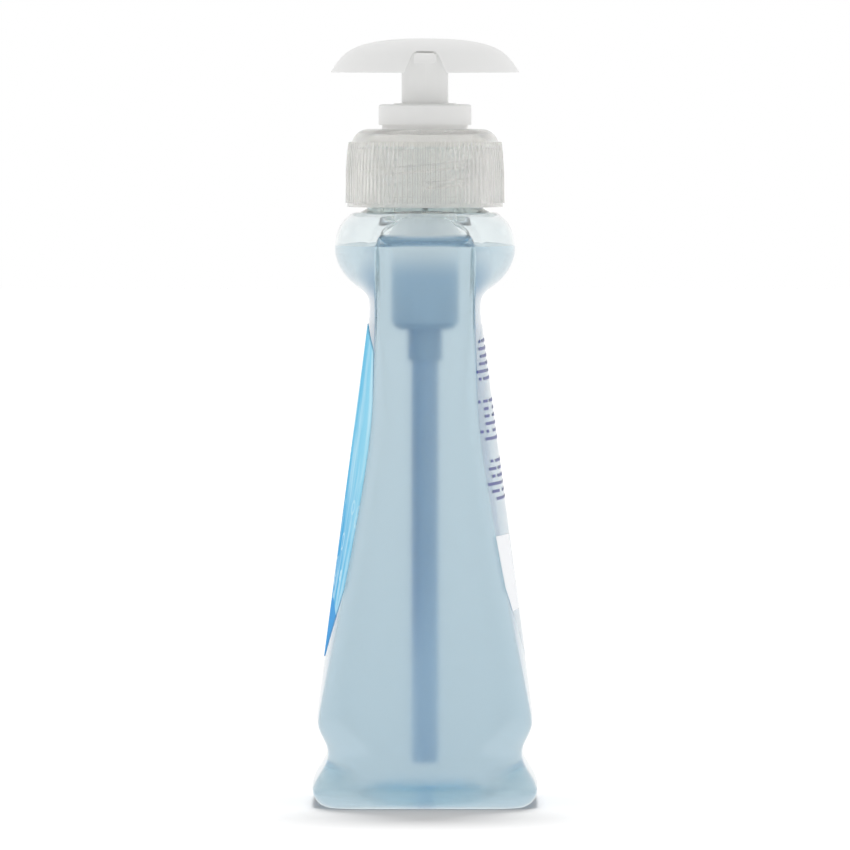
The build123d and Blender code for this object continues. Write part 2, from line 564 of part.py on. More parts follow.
PARTS = {
    "bottle": make_bottle,
    "soap": make_soap,
    "front_label": lambda: make_label(-1),
    "back_label": lambda: make_label(1),
    "closure": make_closure,
    "neck_gasket": make_neck_gasket,
    "pump_housing": make_pump_housing,
    "dip_tube": make_dip_tube,
    "inlet_ball": make_inlet_ball,
    "spring_seat": make_spring_seat,
    "return_spring": make_return_spring,
    "piston": make_piston,
    "stem": make_stem,
    "outlet_ball": make_outlet_ball,
    "lock_collar": make_lock_collar,
    "pump_head": make_pump_head,
}

if __name__ == "__main__":
    os.makedirs("parts", exist_ok=True)
    for name, make in PARTS.items():
        export_step(make(), f"parts/{name}.step")
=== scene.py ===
"""Studio scene of a clear hand soap bottle with a push pump.

Everything is in metres in the frame of the solids: origin at the middle of the base, +Z up, the front
label towards -Y and the nozzle towards +X. The camera looks at the narrow side, along -X.
"""
from __future__ import annotations

import json
import logging
import math
from dataclasses import dataclass, field
from enum import Enum
from typing import Any

import bpy
import numpy as np
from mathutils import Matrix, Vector

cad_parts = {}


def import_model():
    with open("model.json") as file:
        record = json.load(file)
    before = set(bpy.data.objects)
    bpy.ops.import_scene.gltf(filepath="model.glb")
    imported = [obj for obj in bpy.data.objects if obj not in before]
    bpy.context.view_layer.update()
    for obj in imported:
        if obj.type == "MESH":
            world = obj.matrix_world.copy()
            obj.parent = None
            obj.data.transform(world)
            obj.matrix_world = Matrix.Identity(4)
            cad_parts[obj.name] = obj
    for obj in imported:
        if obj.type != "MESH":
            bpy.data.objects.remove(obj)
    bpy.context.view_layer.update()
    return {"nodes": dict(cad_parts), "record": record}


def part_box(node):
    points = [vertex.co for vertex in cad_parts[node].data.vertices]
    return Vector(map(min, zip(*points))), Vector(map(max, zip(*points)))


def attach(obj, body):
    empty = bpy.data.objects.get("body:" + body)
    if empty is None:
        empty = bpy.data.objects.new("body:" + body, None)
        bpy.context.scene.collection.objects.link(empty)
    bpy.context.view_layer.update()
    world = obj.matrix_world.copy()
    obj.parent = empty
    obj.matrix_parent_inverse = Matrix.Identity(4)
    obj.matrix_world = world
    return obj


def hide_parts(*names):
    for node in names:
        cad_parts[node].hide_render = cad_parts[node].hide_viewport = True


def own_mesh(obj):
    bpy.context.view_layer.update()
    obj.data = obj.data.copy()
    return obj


LOG = logging.getLogger("soap_bottle")
MM = 0.001
WHITE = (1.0, 1.0, 1.0, 1.0)
# Density of a tinted material over its strongest loss, so that no channel turns black.
LOSS_SPARE = 1.05


class Kind(Enum):
    """The kinds of node that the finishes and the studio are wired from."""

    PLACE = "ShaderNodeTexCoord"
    AXES = "ShaderNodeSeparateXYZ"
    JOIN = "ShaderNodeCombineXYZ"
    MATH = "ShaderNodeMath"
    VECTOR = "ShaderNodeVectorMath"
    STRETCH = "ShaderNodeMapping"
    RAMP = "ShaderNodeMapRange"
    MIX = "ShaderNodeMix"
    NOISE = "ShaderNodeTexNoise"
    CELLS = "ShaderNodeTexVoronoi"
    CHANCE = "ShaderNodeTexWhiteNoise"
    BUMP = "ShaderNodeBump"
    ABSORPTION = "ShaderNodeVolumeAbsorption"
    RAYS = "ShaderNodeLightPath"
    GLOW = "ShaderNodeEmission"
    EITHER = "ShaderNodeMixShader"


# A colour mix: places of its share, its two colours and its result.
SHARE, UNDER, OVER, MIXED = 0, 6, 7, 2
COLOURS = {"data_type": "RGBA"}
# A ramp that eases in and out, and one that falls from one to nothing.
EASED = {"interpolation_type": "SMOOTHSTEP"}
FALLING = {"To Min": 1.0, "To Max": 0.0}


def linear(colour: str) -> tuple[float, float, float, float]:
    """Turn an sRGB hex colour into linear RGBA.

    Args:
        colour: Six hex digits after a hash mark.

    Returns:
        Red, green, blue and an alpha of one.
    """
    parts = [int(colour[place:place + 2], 16) / 255 for place in (1, 3, 5)]
    red, green, blue = [
        part / 12.92 if part <= 0.04045 else ((part + 0.055) / 1.055) ** 2.4 for part in parts
    ]
    return red, green, blue, 1.0


def ease(share: Any) -> Any:
    """Ease a share between 0 and 1, so that it starts and ends gently."""
    return share * share * (3 - 2 * share)


def add_node(
    tree: bpy.types.NodeTree, kind: Kind, inputs: dict[str | int, Any] | None = None, **settings: Any
) -> bpy.types.Node:
    """Add a node, set its properties and feed its inputs.

    Args:
        tree: Node tree that gets the node.
        kind: Kind of node.
        inputs: A value or an output socket for each input, by name or place.
        settings: Properties of the node itself.

    Returns:
        The new node.
    """
    node = tree.nodes.new(kind.value)
    for name, value in settings.items():
        setattr(node, name, value)
    for key, value in (inputs or {}).items():
        if isinstance(value, bpy.types.NodeSocket):
            tree.links.new(value, node.inputs[key])
        else:
            node.inputs[key].default_value = value
    return node


@dataclass(frozen=True)
class Step:
    """One node in a row of nodes.

    Attributes:
        kind: Kind of node.
        inputs: A value or the name of an earlier result for each input.
        settings: Properties of the node.
        output: The output that is its result.
    """

    kind: Kind
    inputs: dict[str | int, Any]
    settings: dict[str, Any] = field(default_factory=dict)
    output: str | int = 0


def add_row(tree: bpy.types.NodeTree, sockets: dict[str, Any], row: dict[str, Step]) -> dict[str, Any]:
    """Add a row of nodes, each fed by name from the results before it.

    Args:
        tree: Node tree that gets the nodes.
        sockets: Earlier results by name; the new ones are added to them.
        row: The nodes by the names of their results.

    Returns:
        All results by name.
    """
    for name, step in row.items():
        fed = {
            key: sockets[value] if isinstance(value, str) else value for key, value in step.inputs.items()
        }
        sockets[name] = add_node(tree, step.kind, fed, **step.settings).outputs[step.output]
    return sockets


# The place on a piece: the whole of it, its X and its height.
ON_PIECE = {
    "place": Step(Kind.PLACE, {}, output="Object"),
    "x": Step(Kind.AXES, {"Vector": "place"}),
    "z": Step(Kind.AXES, {"Vector": "place"}, output="Z"),
}


def linked_mesh(
    name: str, points: Any, faces: list[tuple[int, ...]], sharp_degrees: float
) -> bpy.types.Object:
    """Make a smooth-shaded mesh object and link it to the scene.

    Args:
        name: Name of the new object and its mesh.
        points: Corners in metres.
        faces: Corner numbers of each face.
        sharp_degrees: Edges that turn by more than this stay sharp.

    Returns:
        The new object.
    """
    mesh = bpy.data.meshes.new(name)
    mesh.from_pydata(points, [], faces)
    mesh.validate()
    mesh.shade_smooth()
    mesh.set_sharp_from_angle(angle=math.radians(sharp_degrees))
    piece = bpy.data.objects.new(name, mesh)
    bpy.context.scene.collection.objects.link(piece)
    return piece


def ringed_mesh(name: str, rings: list[np.ndarray], sharp_degrees: float) -> bpy.types.Object:
    """Skin a stack of closed rings, given in millimetres, and close both ends.

    Args:
        name: Name of the new object and its mesh.
        rings: Rings with the same number of points, in order.
        sharp_degrees: Edges that turn by more than this stay sharp.

    Returns:
        The new object, linked to the scene.
    """
    count = len(rings[0])
    faces = [
        (row * count + step, row * count + (step + 1) % count,
         (row + 1) * count + (step + 1) % count, (row + 1) * count + step)
        for row in range(len(rings) - 1)
        for step in range(count)
    ]
    middles = [ring.mean(axis=0) for ring in (rings[0], rings[-1])]
    points = np.concatenate([*rings, middles]) * MM
    first = len(points) - 2
    last_row = (len(rings) - 1) * count
    faces += [(step, first, (step + 1) % count) for step in range(count)]
    faces += [(last_row + step, last_row + (step + 1) % count, first + 1) for step in range(count)]
    return linked_mesh(name, points.tolist(), faces, sharp_degrees)


@dataclass(frozen=True)
class Finish:
    """What every finish shares: its name, its colour and its gloss.

    Attributes:
        name: The real material and how its surface was made.
        colour: sRGB hex colour.
        roughness: Roughness of the surface.
        ior: Index of refraction.
    """

    name: str
    colour: str
    roughness: float
    ior: float

    def make(self) -> bpy.types.Material:
        """Build the material; each kind of finish adds its own detail.

        Returns:
            The finished material.
        """
        material = bpy.data.materials.new(self.name)
        material.use_nodes = True
        shader = material.node_tree.nodes["Principled BSDF"]
        shader.inputs["Base Color"].default_value = linear(self.colour)
        shader.inputs["Roughness"].default_value = self.roughness
        shader.inputs["IOR"].default_value = self.ior
        self.detail(material.node_tree, shader)
        return material

    def detail(self, tree: bpy.types.NodeTree, shader: bpy.types.Node) -> None:
        """Add nothing: a finish with detail of its own overrides this."""

    def ripple(
        self, tree: bpy.types.NodeTree, shader: bpy.types.Node, size_mm: float, height_mm: float
    ) -> None:
        """Make the surface softly uneven.

        Args:
            tree: Node tree of the material.
            shader: Its shader.
            size_mm: Distance from one rise to the next.
            height_mm: Height of the rises.
        """
        sockets = add_row(tree, {}, {
            "place": Step(Kind.PLACE, {}, output="Object"),
            "rise": Step(Kind.NOISE, {"Vector": "place", "Scale": 1 / (size_mm * MM), "Detail": 2.0}),
            "bump": Step(Kind.BUMP, {"Strength": 1.0, "Distance": height_mm * MM, "Height": "rise"}),
        })
        tree.links.new(sockets["bump"], shader.inputs["Normal"])

    def absorb(self, tree: bpy.types.NodeTree, colour: str, depth_mm: float) -> None:
        """Tint light along its path inside the material.

        Args:
            tree: Node tree of the material.
            colour: Colour of white light after the depth.
            depth_mm: Path that gives that colour.
        """
        losses = [-math.log(part) / (depth_mm * MM) for part in linear(colour)[:3]]
        density = max(losses) * LOSS_SPARE
        passed = [1 - loss / density for loss in losses]
        volume = add_node(tree, Kind.ABSORPTION, {"Color": (*passed, 1.0), "Density": density})
        tree.links.new(volume.outputs["Volume"], tree.nodes["Material Output"].inputs["Volume"])


@dataclass(frozen=True)
class ClearBlownPet(Finish):
    """Clear PET, blow-moulded: glassy, with the faint waviness of an uneven wall and blue-green edges.

    Attributes:
        wave_mm: Length of the waviness.
        wave_height_mm: Its height.
        edge_colour: Colour where light runs along the wall.
        edge_mm: Path along the wall that gives that colour.
    """

    wave_mm: float = 14.0
    wave_height_mm: float = 0.01
    edge_colour: str = "#b9e0e8"
    edge_mm: float = 40.0

    def detail(self, tree: bpy.types.NodeTree, shader: bpy.types.Node) -> None:
        """Let light through, tint long paths and add the waviness."""
        shader.inputs["Transmission Weight"].default_value = 1.0
        self.absorb(tree, self.edge_colour, self.edge_mm)
        self.ripple(tree, shader, self.wave_mm, self.wave_height_mm)


@dataclass(frozen=True)
class TintedLiquid(Finish):
    """Pale blue liquid soap, a little hazy, so that what stands in it looks soft.

    Attributes:
        depth_colour: Colour of white light after the depth below.
        depth_mm: Path through the liquid that gives that colour.
        lens_shade_colour: Painted shade over the push-up, a colour that stands in for the shaded floor seen
            through the base.
        lens_shade_share: How strongly that painted shade covers the push-up, in place of light passing
            through.
        lens_mm: Half length, half width and height of the push-up.
        lens_shade_fade: Shares of the push-up between which that painted shade fades.
    """

    depth_colour: str = "#c1d3de"
    depth_mm: float = 65.0
    lens_shade_colour: str = "#b4ecff"
    lens_shade_share: float = 0.65
    lens_mm: tuple[float, float, float] = (25.0, 22.0, 6.0)
    lens_shade_fade: tuple[float, float] = (0.45, 0.9)

    def detail(self, tree: bpy.types.NodeTree, shader: bpy.types.Node) -> None:
        """Let light through, tint it along its path and paint shade over the push-up."""
        self.absorb(tree, self.depth_colour, self.depth_mm)
        long, wide, high = (size * MM for size in self.lens_mm)
        near, far = self.lens_shade_fade
        colours = {UNDER: linear(self.colour), OVER: linear(self.lens_shade_colour)}
        # Painted shade: over the push-up the soap turns bluish and lets less light through, for the shaded
        # floor below the base.
        sockets = add_row(tree, {}, {
            **ON_PIECE,
            "flat": Step(Kind.VECTOR, {0: "place", 1: (1 / long, 1 / wide, 0.0)}, {"operation": "MULTIPLY"}),
            "away": Step(Kind.VECTOR, {0: "flat"}, {"operation": "LENGTH"}, "Value"),
            "inside": Step(Kind.RAMP, {"Value": "away", "From Min": near, "From Max": far, **FALLING}, EASED),
            "low": Step(Kind.MATH, {0: "z", 1: high}, {"operation": "LESS_THAN"}),
            "lens_shade": Step(Kind.MATH, {0: "inside", 1: "low"}, {"operation": "MULTIPLY"}),
            "colour": Step(Kind.MIX, {SHARE: "lens_shade", **colours}, COLOURS, MIXED),
            "passing": Step(Kind.RAMP, {"Value": "lens_shade", "To Min": 1.0, "To Max": 1.0 - self.lens_shade_share}),
        })
        tree.links.new(sockets["colour"], shader.inputs["Base Color"])
        tree.links.new(sockets["passing"], shader.inputs["Transmission Weight"])


@dataclass(frozen=True)
class MouldedPlastic(Finish):
    """Injection-moulded polyolefin: soft gloss over a very fine grain, a little light passes in.

    Attributes:
        grain_mm: Size of the grain, drawn coarser than the real one so that it shows.
        grain_height_mm: Height of the grain.
        passing: Share of the light that passes through the wall.
        glow_mm: How far light spreads inside the plastic.
        glow_share: Share of the light that does.
    """

    grain_mm: float = 0.7
    grain_height_mm: float = 0.004
    passing: float = 0.0
    glow_mm: float = 0.0
    glow_share: float = 0.25

    def detail(self, tree: bpy.types.NodeTree, shader: bpy.types.Node) -> None:
        """Add the grain, the light inside the wall and the light through it."""
        shader.inputs["Transmission Weight"].default_value = self.passing
        if self.glow_mm:
            shader.inputs["Subsurface Weight"].default_value = self.glow_share
            shader.inputs["Subsurface Scale"].default_value = self.glow_mm * MM
            shader.inputs["Subsurface Radius"].default_value = WHITE[:3]
        self.ripple(tree, shader, self.grain_mm, self.grain_height_mm)


@dataclass(frozen=True)
class WettedShadedPlastic(MouldedPlastic):
    """Undyed polyolefin that stands in the soap: milky where it is dry; below the level blue from the soap
    inside, and darker there as painted shade.

    Attributes:
        wet_shade_colour: Colour below the soap's level: the soap's blue, darkened as painted shade.
        level_mm: Height of the level.
        fade_mm: Depth over which the colour changes.
    """

    wet_shade_colour: str = "#b4d0e6"
    level_mm: float = 142.0
    fade_mm: float = 9.0

    def detail(self, tree: bpy.types.NodeTree, shader: bpy.types.Node) -> None:
        """Add the grain and the change of colour at the level, below which shade is painted."""
        super().detail(tree, shader)
        # Painted shade: below the level the colour fades to the darker wet colour.
        high, low = self.level_mm * MM, (self.level_mm - self.fade_mm) * MM
        colours = {UNDER: linear(self.wet_shade_colour), OVER: linear(self.colour)}
        sockets = add_row(tree, {}, {
            **ON_PIECE,
            "dry": Step(Kind.RAMP, {"Value": "z", "From Min": low, "From Max": high}, EASED),
            "colour": Step(Kind.MIX, {SHARE: "dry", **colours}, COLOURS, MIXED),
        })
        tree.links.new(sockets["colour"], shader.inputs["Base Color"])


@dataclass(frozen=True)
class DrawnSteel(Finish):
    """Drawn and polished stainless steel: bright metal with faint drawing marks.

    Attributes:
        mark_mm: Spacing of the marks.
        mark_height_mm: Height of the marks.
    """

    mark_mm: float = 0.3
    mark_height_mm: float = 0.002

    def detail(self, tree: bpy.types.NodeTree, shader: bpy.types.Node) -> None:
        """Make it metal and add the marks."""
        shader.inputs["Metallic"].default_value = 1.0
        self.ripple(tree, shader, self.mark_mm, self.mark_height_mm)


class Side(Enum):
    """The two faces that carry a label."""

    FRONT = "front_label"
    BACK = "back_label"


@dataclass(frozen=True)
class FrontFilm(Finish):
    """Front label: cyan, deeper in the middle and low down, with printed bubbles and a blue wave, and soft
    streaks of painted highlight.

    Attributes:
        low_mm: Height of the label's lowest point.
        high_mm: Height of its highest point.
        half_width_mm: Half the label's width.
        deep_colour: Cyan of the middle.
        high_colours: Paler colours of the middle and the sides near the top.
        high_share: Shares of the height between which the field turns paler.
        highlight_and_bubble_colour: Colour of the painted highlight streaks and of the printed bubbles.
        wave_colour: Blue of the wave at the foot.
        sheen: Strength of the surface's reflection: none, as the matt print shows no veil at a slant.
        streak_mm: Width and length of a painted highlight streak.
        streak_range: Strength of the noise at which a painted highlight streak starts, and at which it is
            full.
        bubble_mm: Distance from bubble to bubble.
        bubble_radius: Smallest and largest bubble, as shares of that distance.
        bubble_line: Half a bubble's line, from where it is full to where it ends.
        bubble_fade: Shares of the height between which bubbles fade, and their strength below.
        wave_mm: Height of the wave's middle, its swing and its length.
    """

    low_mm: float = 37.2
    high_mm: float = 122.2
    half_width_mm: float = 31.0
    deep_colour: str = "#1596da"
    high_colours: tuple[str, str] = ("#55b9e4", "#a4dff3")
    high_share: tuple[float, float] = (0.3, 0.6)
    highlight_and_bubble_colour: str = "#cdeefa"
    wave_colour: str = "#5aa6e2"
    sheen: float = 0.0
    streak_mm: tuple[float, float] = (5.0, 34.0)
    streak_range: tuple[float, float] = (0.45, 0.8)
    bubble_mm: float = 9.0
    bubble_radius: tuple[float, float] = (0.08, 0.34)
    bubble_line: tuple[float, float] = (0.015, 0.04)
    bubble_fade: tuple[float, float, float] = (0.3, 0.75, 0.9)
    wave_mm: tuple[float, float, float] = (50.0, 2.6, 46.0)

    def detail(self, tree: bpy.types.NodeTree, shader: bpy.types.Node) -> None:
        """Print the field, the bubbles and the wave, and paint highlight streaks over the field."""
        low, high = self.low_mm * MM, self.high_mm * MM
        rise_from, rise_to = self.high_share
        middle, swing, length = (size * MM for size in self.wave_mm)
        low_colours = {UNDER: linear(self.deep_colour), OVER: linear(self.colour)}
        high_colours = dict(zip((UNDER, OVER), map(linear, self.high_colours)))
        sockets = add_row(tree, {}, {
            **ON_PIECE,
            "share": Step(Kind.RAMP, {"Value": "z", "From Min": low, "From Max": high}),
            "reach": Step(Kind.MATH, {0: "x"}, {"operation": "ABSOLUTE"}),
            "side": Step(Kind.RAMP, {"Value": "reach", "From Max": self.half_width_mm * MM}),
            "low": Step(Kind.MIX, {SHARE: "side", **low_colours}, COLOURS, MIXED),
            "high": Step(Kind.MIX, {SHARE: "side", **high_colours}, COLOURS, MIXED),
            "rise": Step(Kind.RAMP, {"Value": "share", "From Min": rise_from, "From Max": rise_to}),
            "field": Step(Kind.MIX, {SHARE: "rise", UNDER: "low", OVER: "high"}, COLOURS, MIXED),
        })
        self.streaks(tree, sockets)
        self.bubbles(tree, sockets)
        add_row(tree, sockets, {
            "turn": Step(Kind.MATH, {0: "x", 1: 2 * math.pi / length}, {"operation": "MULTIPLY"}),
            "wave": Step(Kind.MATH, {0: "turn"}, {"operation": "SINE"}),
            "top": Step(Kind.MATH, {0: "wave", 1: swing, 2: middle}, {"operation": "MULTIPLY_ADD"}),
            "below": Step(Kind.MATH, {0: "z", 1: "top"}, {"operation": "LESS_THAN"}),
        })
        # The pale streaks are painted highlights; the bubbles and the wave are print.
        layers = {"streak": self.highlight_and_bubble_colour, "bubble": self.highlight_and_bubble_colour, "below": self.wave_colour}
        for share, colour in layers.items():
            inputs = {SHARE: share, UNDER: "field", OVER: linear(colour)}
            add_row(tree, sockets, {"field": Step(Kind.MIX, inputs, COLOURS, MIXED)})
        tree.links.new(sockets["field"], shader.inputs["Base Color"])
        shader.inputs["Specular IOR Level"].default_value = self.sheen

    def streaks(self, tree: bpy.types.NodeTree, sockets: dict[str, Any]) -> None:
        """Paint soft upright highlight streaks.

        Args:
            tree: Node tree of the material.
            sockets: Earlier results by name; the strength of the painted highlights is added as streak.
        """
        across, along = (1 / (size * MM) for size in self.streak_mm)
        start, full = self.streak_range
        add_row(tree, sockets, {
            "long": Step(Kind.STRETCH, {"Vector": "place", "Scale": (across, across, along)}),
            "noise": Step(Kind.NOISE, {"Vector": "long", "Scale": 1.0, "Detail": 3.0}),
            "streak": Step(Kind.RAMP, {"Value": "noise", "From Min": start, "From Max": full}),
        })

    def bubbles(self, tree: bpy.types.NodeTree, sockets: dict[str, Any]) -> None:
        """Draw thin rings that thin out towards the top.

        Args:
            tree: Node tree of the material.
            sockets: Earlier results by name; the strength of the rings is added as bubble.
        """
        least, most = self.bubble_radius
        full, end = self.bubble_line
        fade_from, fade_to, strength = self.bubble_fade
        fading = {"From Min": fade_from, "From Max": fade_to, "To Min": strength, "To Max": 0.0}
        flat = {0: "place", 1: (1.0, 0.0, 1.0)}
        add_row(tree, sockets, {"flat": Step(Kind.VECTOR, flat, {"operation": "MULTIPLY"})})
        scale = 1 / (self.bubble_mm * MM)
        cells = add_node(tree, Kind.CELLS, {"Vector": sockets["flat"], "Scale": scale}).outputs
        sockets |= {"distance": cells["Distance"], "chance": cells["Color"]}
        add_row(tree, sockets, {
            "size": Step(Kind.AXES, {"Vector": "chance"}),
            "radius": Step(Kind.RAMP, {"Value": "size", "To Min": least, "To Max": most}),
            "off": Step(Kind.MATH, {0: "distance", 1: "radius"}, {"operation": "SUBTRACT"}),
            "away": Step(Kind.MATH, {0: "off"}, {"operation": "ABSOLUTE"}),
            "ring": Step(Kind.RAMP, {"Value": "away", "From Min": full, "From Max": end, **FALLING}),
            "fade": Step(Kind.RAMP, {"Value": "share", **fading}),
            "bubble": Step(Kind.MATH, {0: "ring", 1: "fade"}, {"operation": "MULTIPLY"}),
        })


@dataclass(frozen=True)
class BackFilm(Finish):
    """Back label: clear film with rows of broken navy bars and a plain white field.

    Attributes:
        ink_colour: Colour of the bars.
        field_colour: Colour of the plain field.
        row_mm: Distance from row to row.
        bar_share: Share of that distance that a bar takes.
        word_mm: Length of the bars' pieces.
        word_share: Share of that length that is printed.
        skipped_share: Share of the pieces that are left out.
        line_ends_mm: Nearest and farthest end of a row from the middle.
        block_rows: Rows from block to block.
        block_gap: Rows left empty between blocks, less a half so that rounding can't matter.
        rows_from_mm: Height above which the rows stand.
        field_mm: Lowest and highest point of the field, and its distance from the middle.
        clear_share: How much of the film's pale body shows where nothing is printed.
    """

    ink_colour: str = "#2f4096"
    field_colour: str = "#f6f8fb"
    row_mm: float = 1.9
    bar_share: float = 0.4
    word_mm: float = 3.1
    word_share: float = 0.86
    skipped_share: float = 0.22
    line_ends_mm: tuple[float, float] = (20.0, 29.0)
    block_rows: float = 8.0
    block_gap: float = 1.5
    rows_from_mm: float = 76.0
    field_mm: tuple[float, float, float] = (50.0, 69.0, 9.0)
    clear_share: float = 0.12

    def detail(self, tree: bpy.types.NodeTree, shader: bpy.types.Node) -> None:
        """Print the bars and the field, and leave the rest clear."""
        near_end, far_end = (size * MM for size in self.line_ends_mm)
        low, high, beside = (size * MM for size in self.field_mm)
        sockets = add_row(tree, {}, {
            **ON_PIECE,
            "rows": Step(Kind.MATH, {0: "z", 1: self.row_mm * MM}, {"operation": "DIVIDE"}),
            "words": Step(Kind.MATH, {0: "x", 1: self.word_mm * MM}, {"operation": "DIVIDE"}),
            "row": Step(Kind.MATH, {0: "rows"}, {"operation": "FLOOR"}),
            "word": Step(Kind.MATH, {0: "words"}, {"operation": "FLOOR"}),
            "in_row": Step(Kind.MATH, {0: "rows"}, {"operation": "FRACT"}),
            "in_word": Step(Kind.MATH, {0: "words"}, {"operation": "FRACT"}),
            "in_block": Step(Kind.MATH, {0: "row", 1: 0.0, 2: self.block_rows}, {"operation": "WRAP"}),
            "reach": Step(Kind.MATH, {0: "x"}, {"operation": "ABSOLUTE"}),
            "seed": Step(Kind.JOIN, {"X": "word", "Y": "row"}),
            "chance": Step(Kind.CHANCE, {"Vector": "seed"}),
            "end": Step(Kind.CHANCE, {"W": "row"}, {"noise_dimensions": "1D"}),
            "length": Step(Kind.RAMP, {"Value": "end", "To Min": near_end, "To Max": far_end}),
        })
        bars = (
            ("in_row", "LESS_THAN", self.bar_share),
            ("in_block", "LESS_THAN", self.block_rows - self.block_gap),
            ("in_word", "LESS_THAN", self.word_share),
            ("chance", "GREATER_THAN", self.skipped_share),
            ("reach", "LESS_THAN", "length"),
            ("z", "GREATER_THAN", self.rows_from_mm * MM),
        )
        square = (("z", "GREATER_THAN", low), ("z", "LESS_THAN", high), ("x", "GREATER_THAN", beside))
        for result, tests in (("ink", bars), ("field", square)):
            sockets[result] = 1.0
            for value, operation, limit in tests:
                add_row(tree, sockets, {
                    "test": Step(Kind.MATH, {0: value, 1: limit}, {"operation": operation}),
                    result: Step(Kind.MATH, {0: result, 1: "test"}, {"operation": "MULTIPLY"}),
                })
        plain = {UNDER: linear(self.colour), OVER: linear(self.field_colour)}
        ink = linear(self.ink_colour)
        add_row(tree, sockets, {
            "plain": Step(Kind.MIX, {SHARE: "field", **plain}, COLOURS, MIXED),
            "print": Step(Kind.MIX, {SHARE: "ink", UNDER: "plain", OVER: ink}, COLOURS, MIXED),
            "printed": Step(Kind.MATH, {0: "ink", 1: "field"}, {"operation": "MAXIMUM"}),
            "cover": Step(Kind.RAMP, {"Value": "printed", "To Min": self.clear_share, "To Max": 1.0}),
        })
        tree.links.new(sockets["print"], shader.inputs["Base Color"])
        tree.links.new(sockets["cover"], shader.inputs["Alpha"])


# Blown PET is clear and glassy; a trace of blue-green shows at its edges.
CLEAR_PET = ClearBlownPet("clear_pet_blow_moulded", "#fafdfd", 0.02, 1.57)
# Soap base is mostly water; its dye shows over the depth of the bottle.
SOAP_LIQUID = TintedLiquid("liquid_soap_dyed_blue", "#ffffff", 0.25, 1.35)
# Undyed polypropylene is milky, so the thread inside the closure shows as a shadow.
NATURAL_PP = MouldedPlastic("natural_polypropylene_moulded", "#fcfbf9", 0.2, 1.49, passing=0.8)
# White polypropylene has a satin gloss and slightly glowing edges.
WHITE_PP = MouldedPlastic("white_polypropylene_moulded", "#ebebea", 0.38, 1.49, glow_mm=0.6)
# The housing is undyed too: milky above the soap; below it blue where soap fills it, and darker from painted
# shade.
HOUSING_PP = WettedShadedPlastic("housing_polypropylene_moulded", "#fcfdfd", 0.35, 1.49)
# Extruded polyethylene is waxy and milky; the soap inside it makes it blue, and painted shade darkens it.
TUBE_PE = WettedShadedPlastic("natural_polyethylene_extruded", "#eef1f4", 0.4, 1.51, wet_shade_colour="#c2dbf2")
# Closed-cell foam is matt and off-white, with fine pores.
FOAM = MouldedPlastic(
    "polyethylene_foam_liner_cut", "#e8e8e4", 0.8, 1.5, grain_mm=0.4, grain_height_mm=0.03
)
# Spring wire and valve balls are bright.
STEEL = DrawnSteel("stainless_steel_drawn", "#c9cbcd", 0.25, 1.5)
# Film printed all over is flat and matt: its colours stay full even at a slant.
FRONT_FILM = FrontFilm("polypropylene_film_printed_cyan", "#7ccbed", 0.35, 1.49)
# Clear film shows the bottle between its print, under a faint milky veil.
BACK_FILM = BackFilm("polypropylene_film_clear_printed", "#eef2f6", 0.35, 1.49)


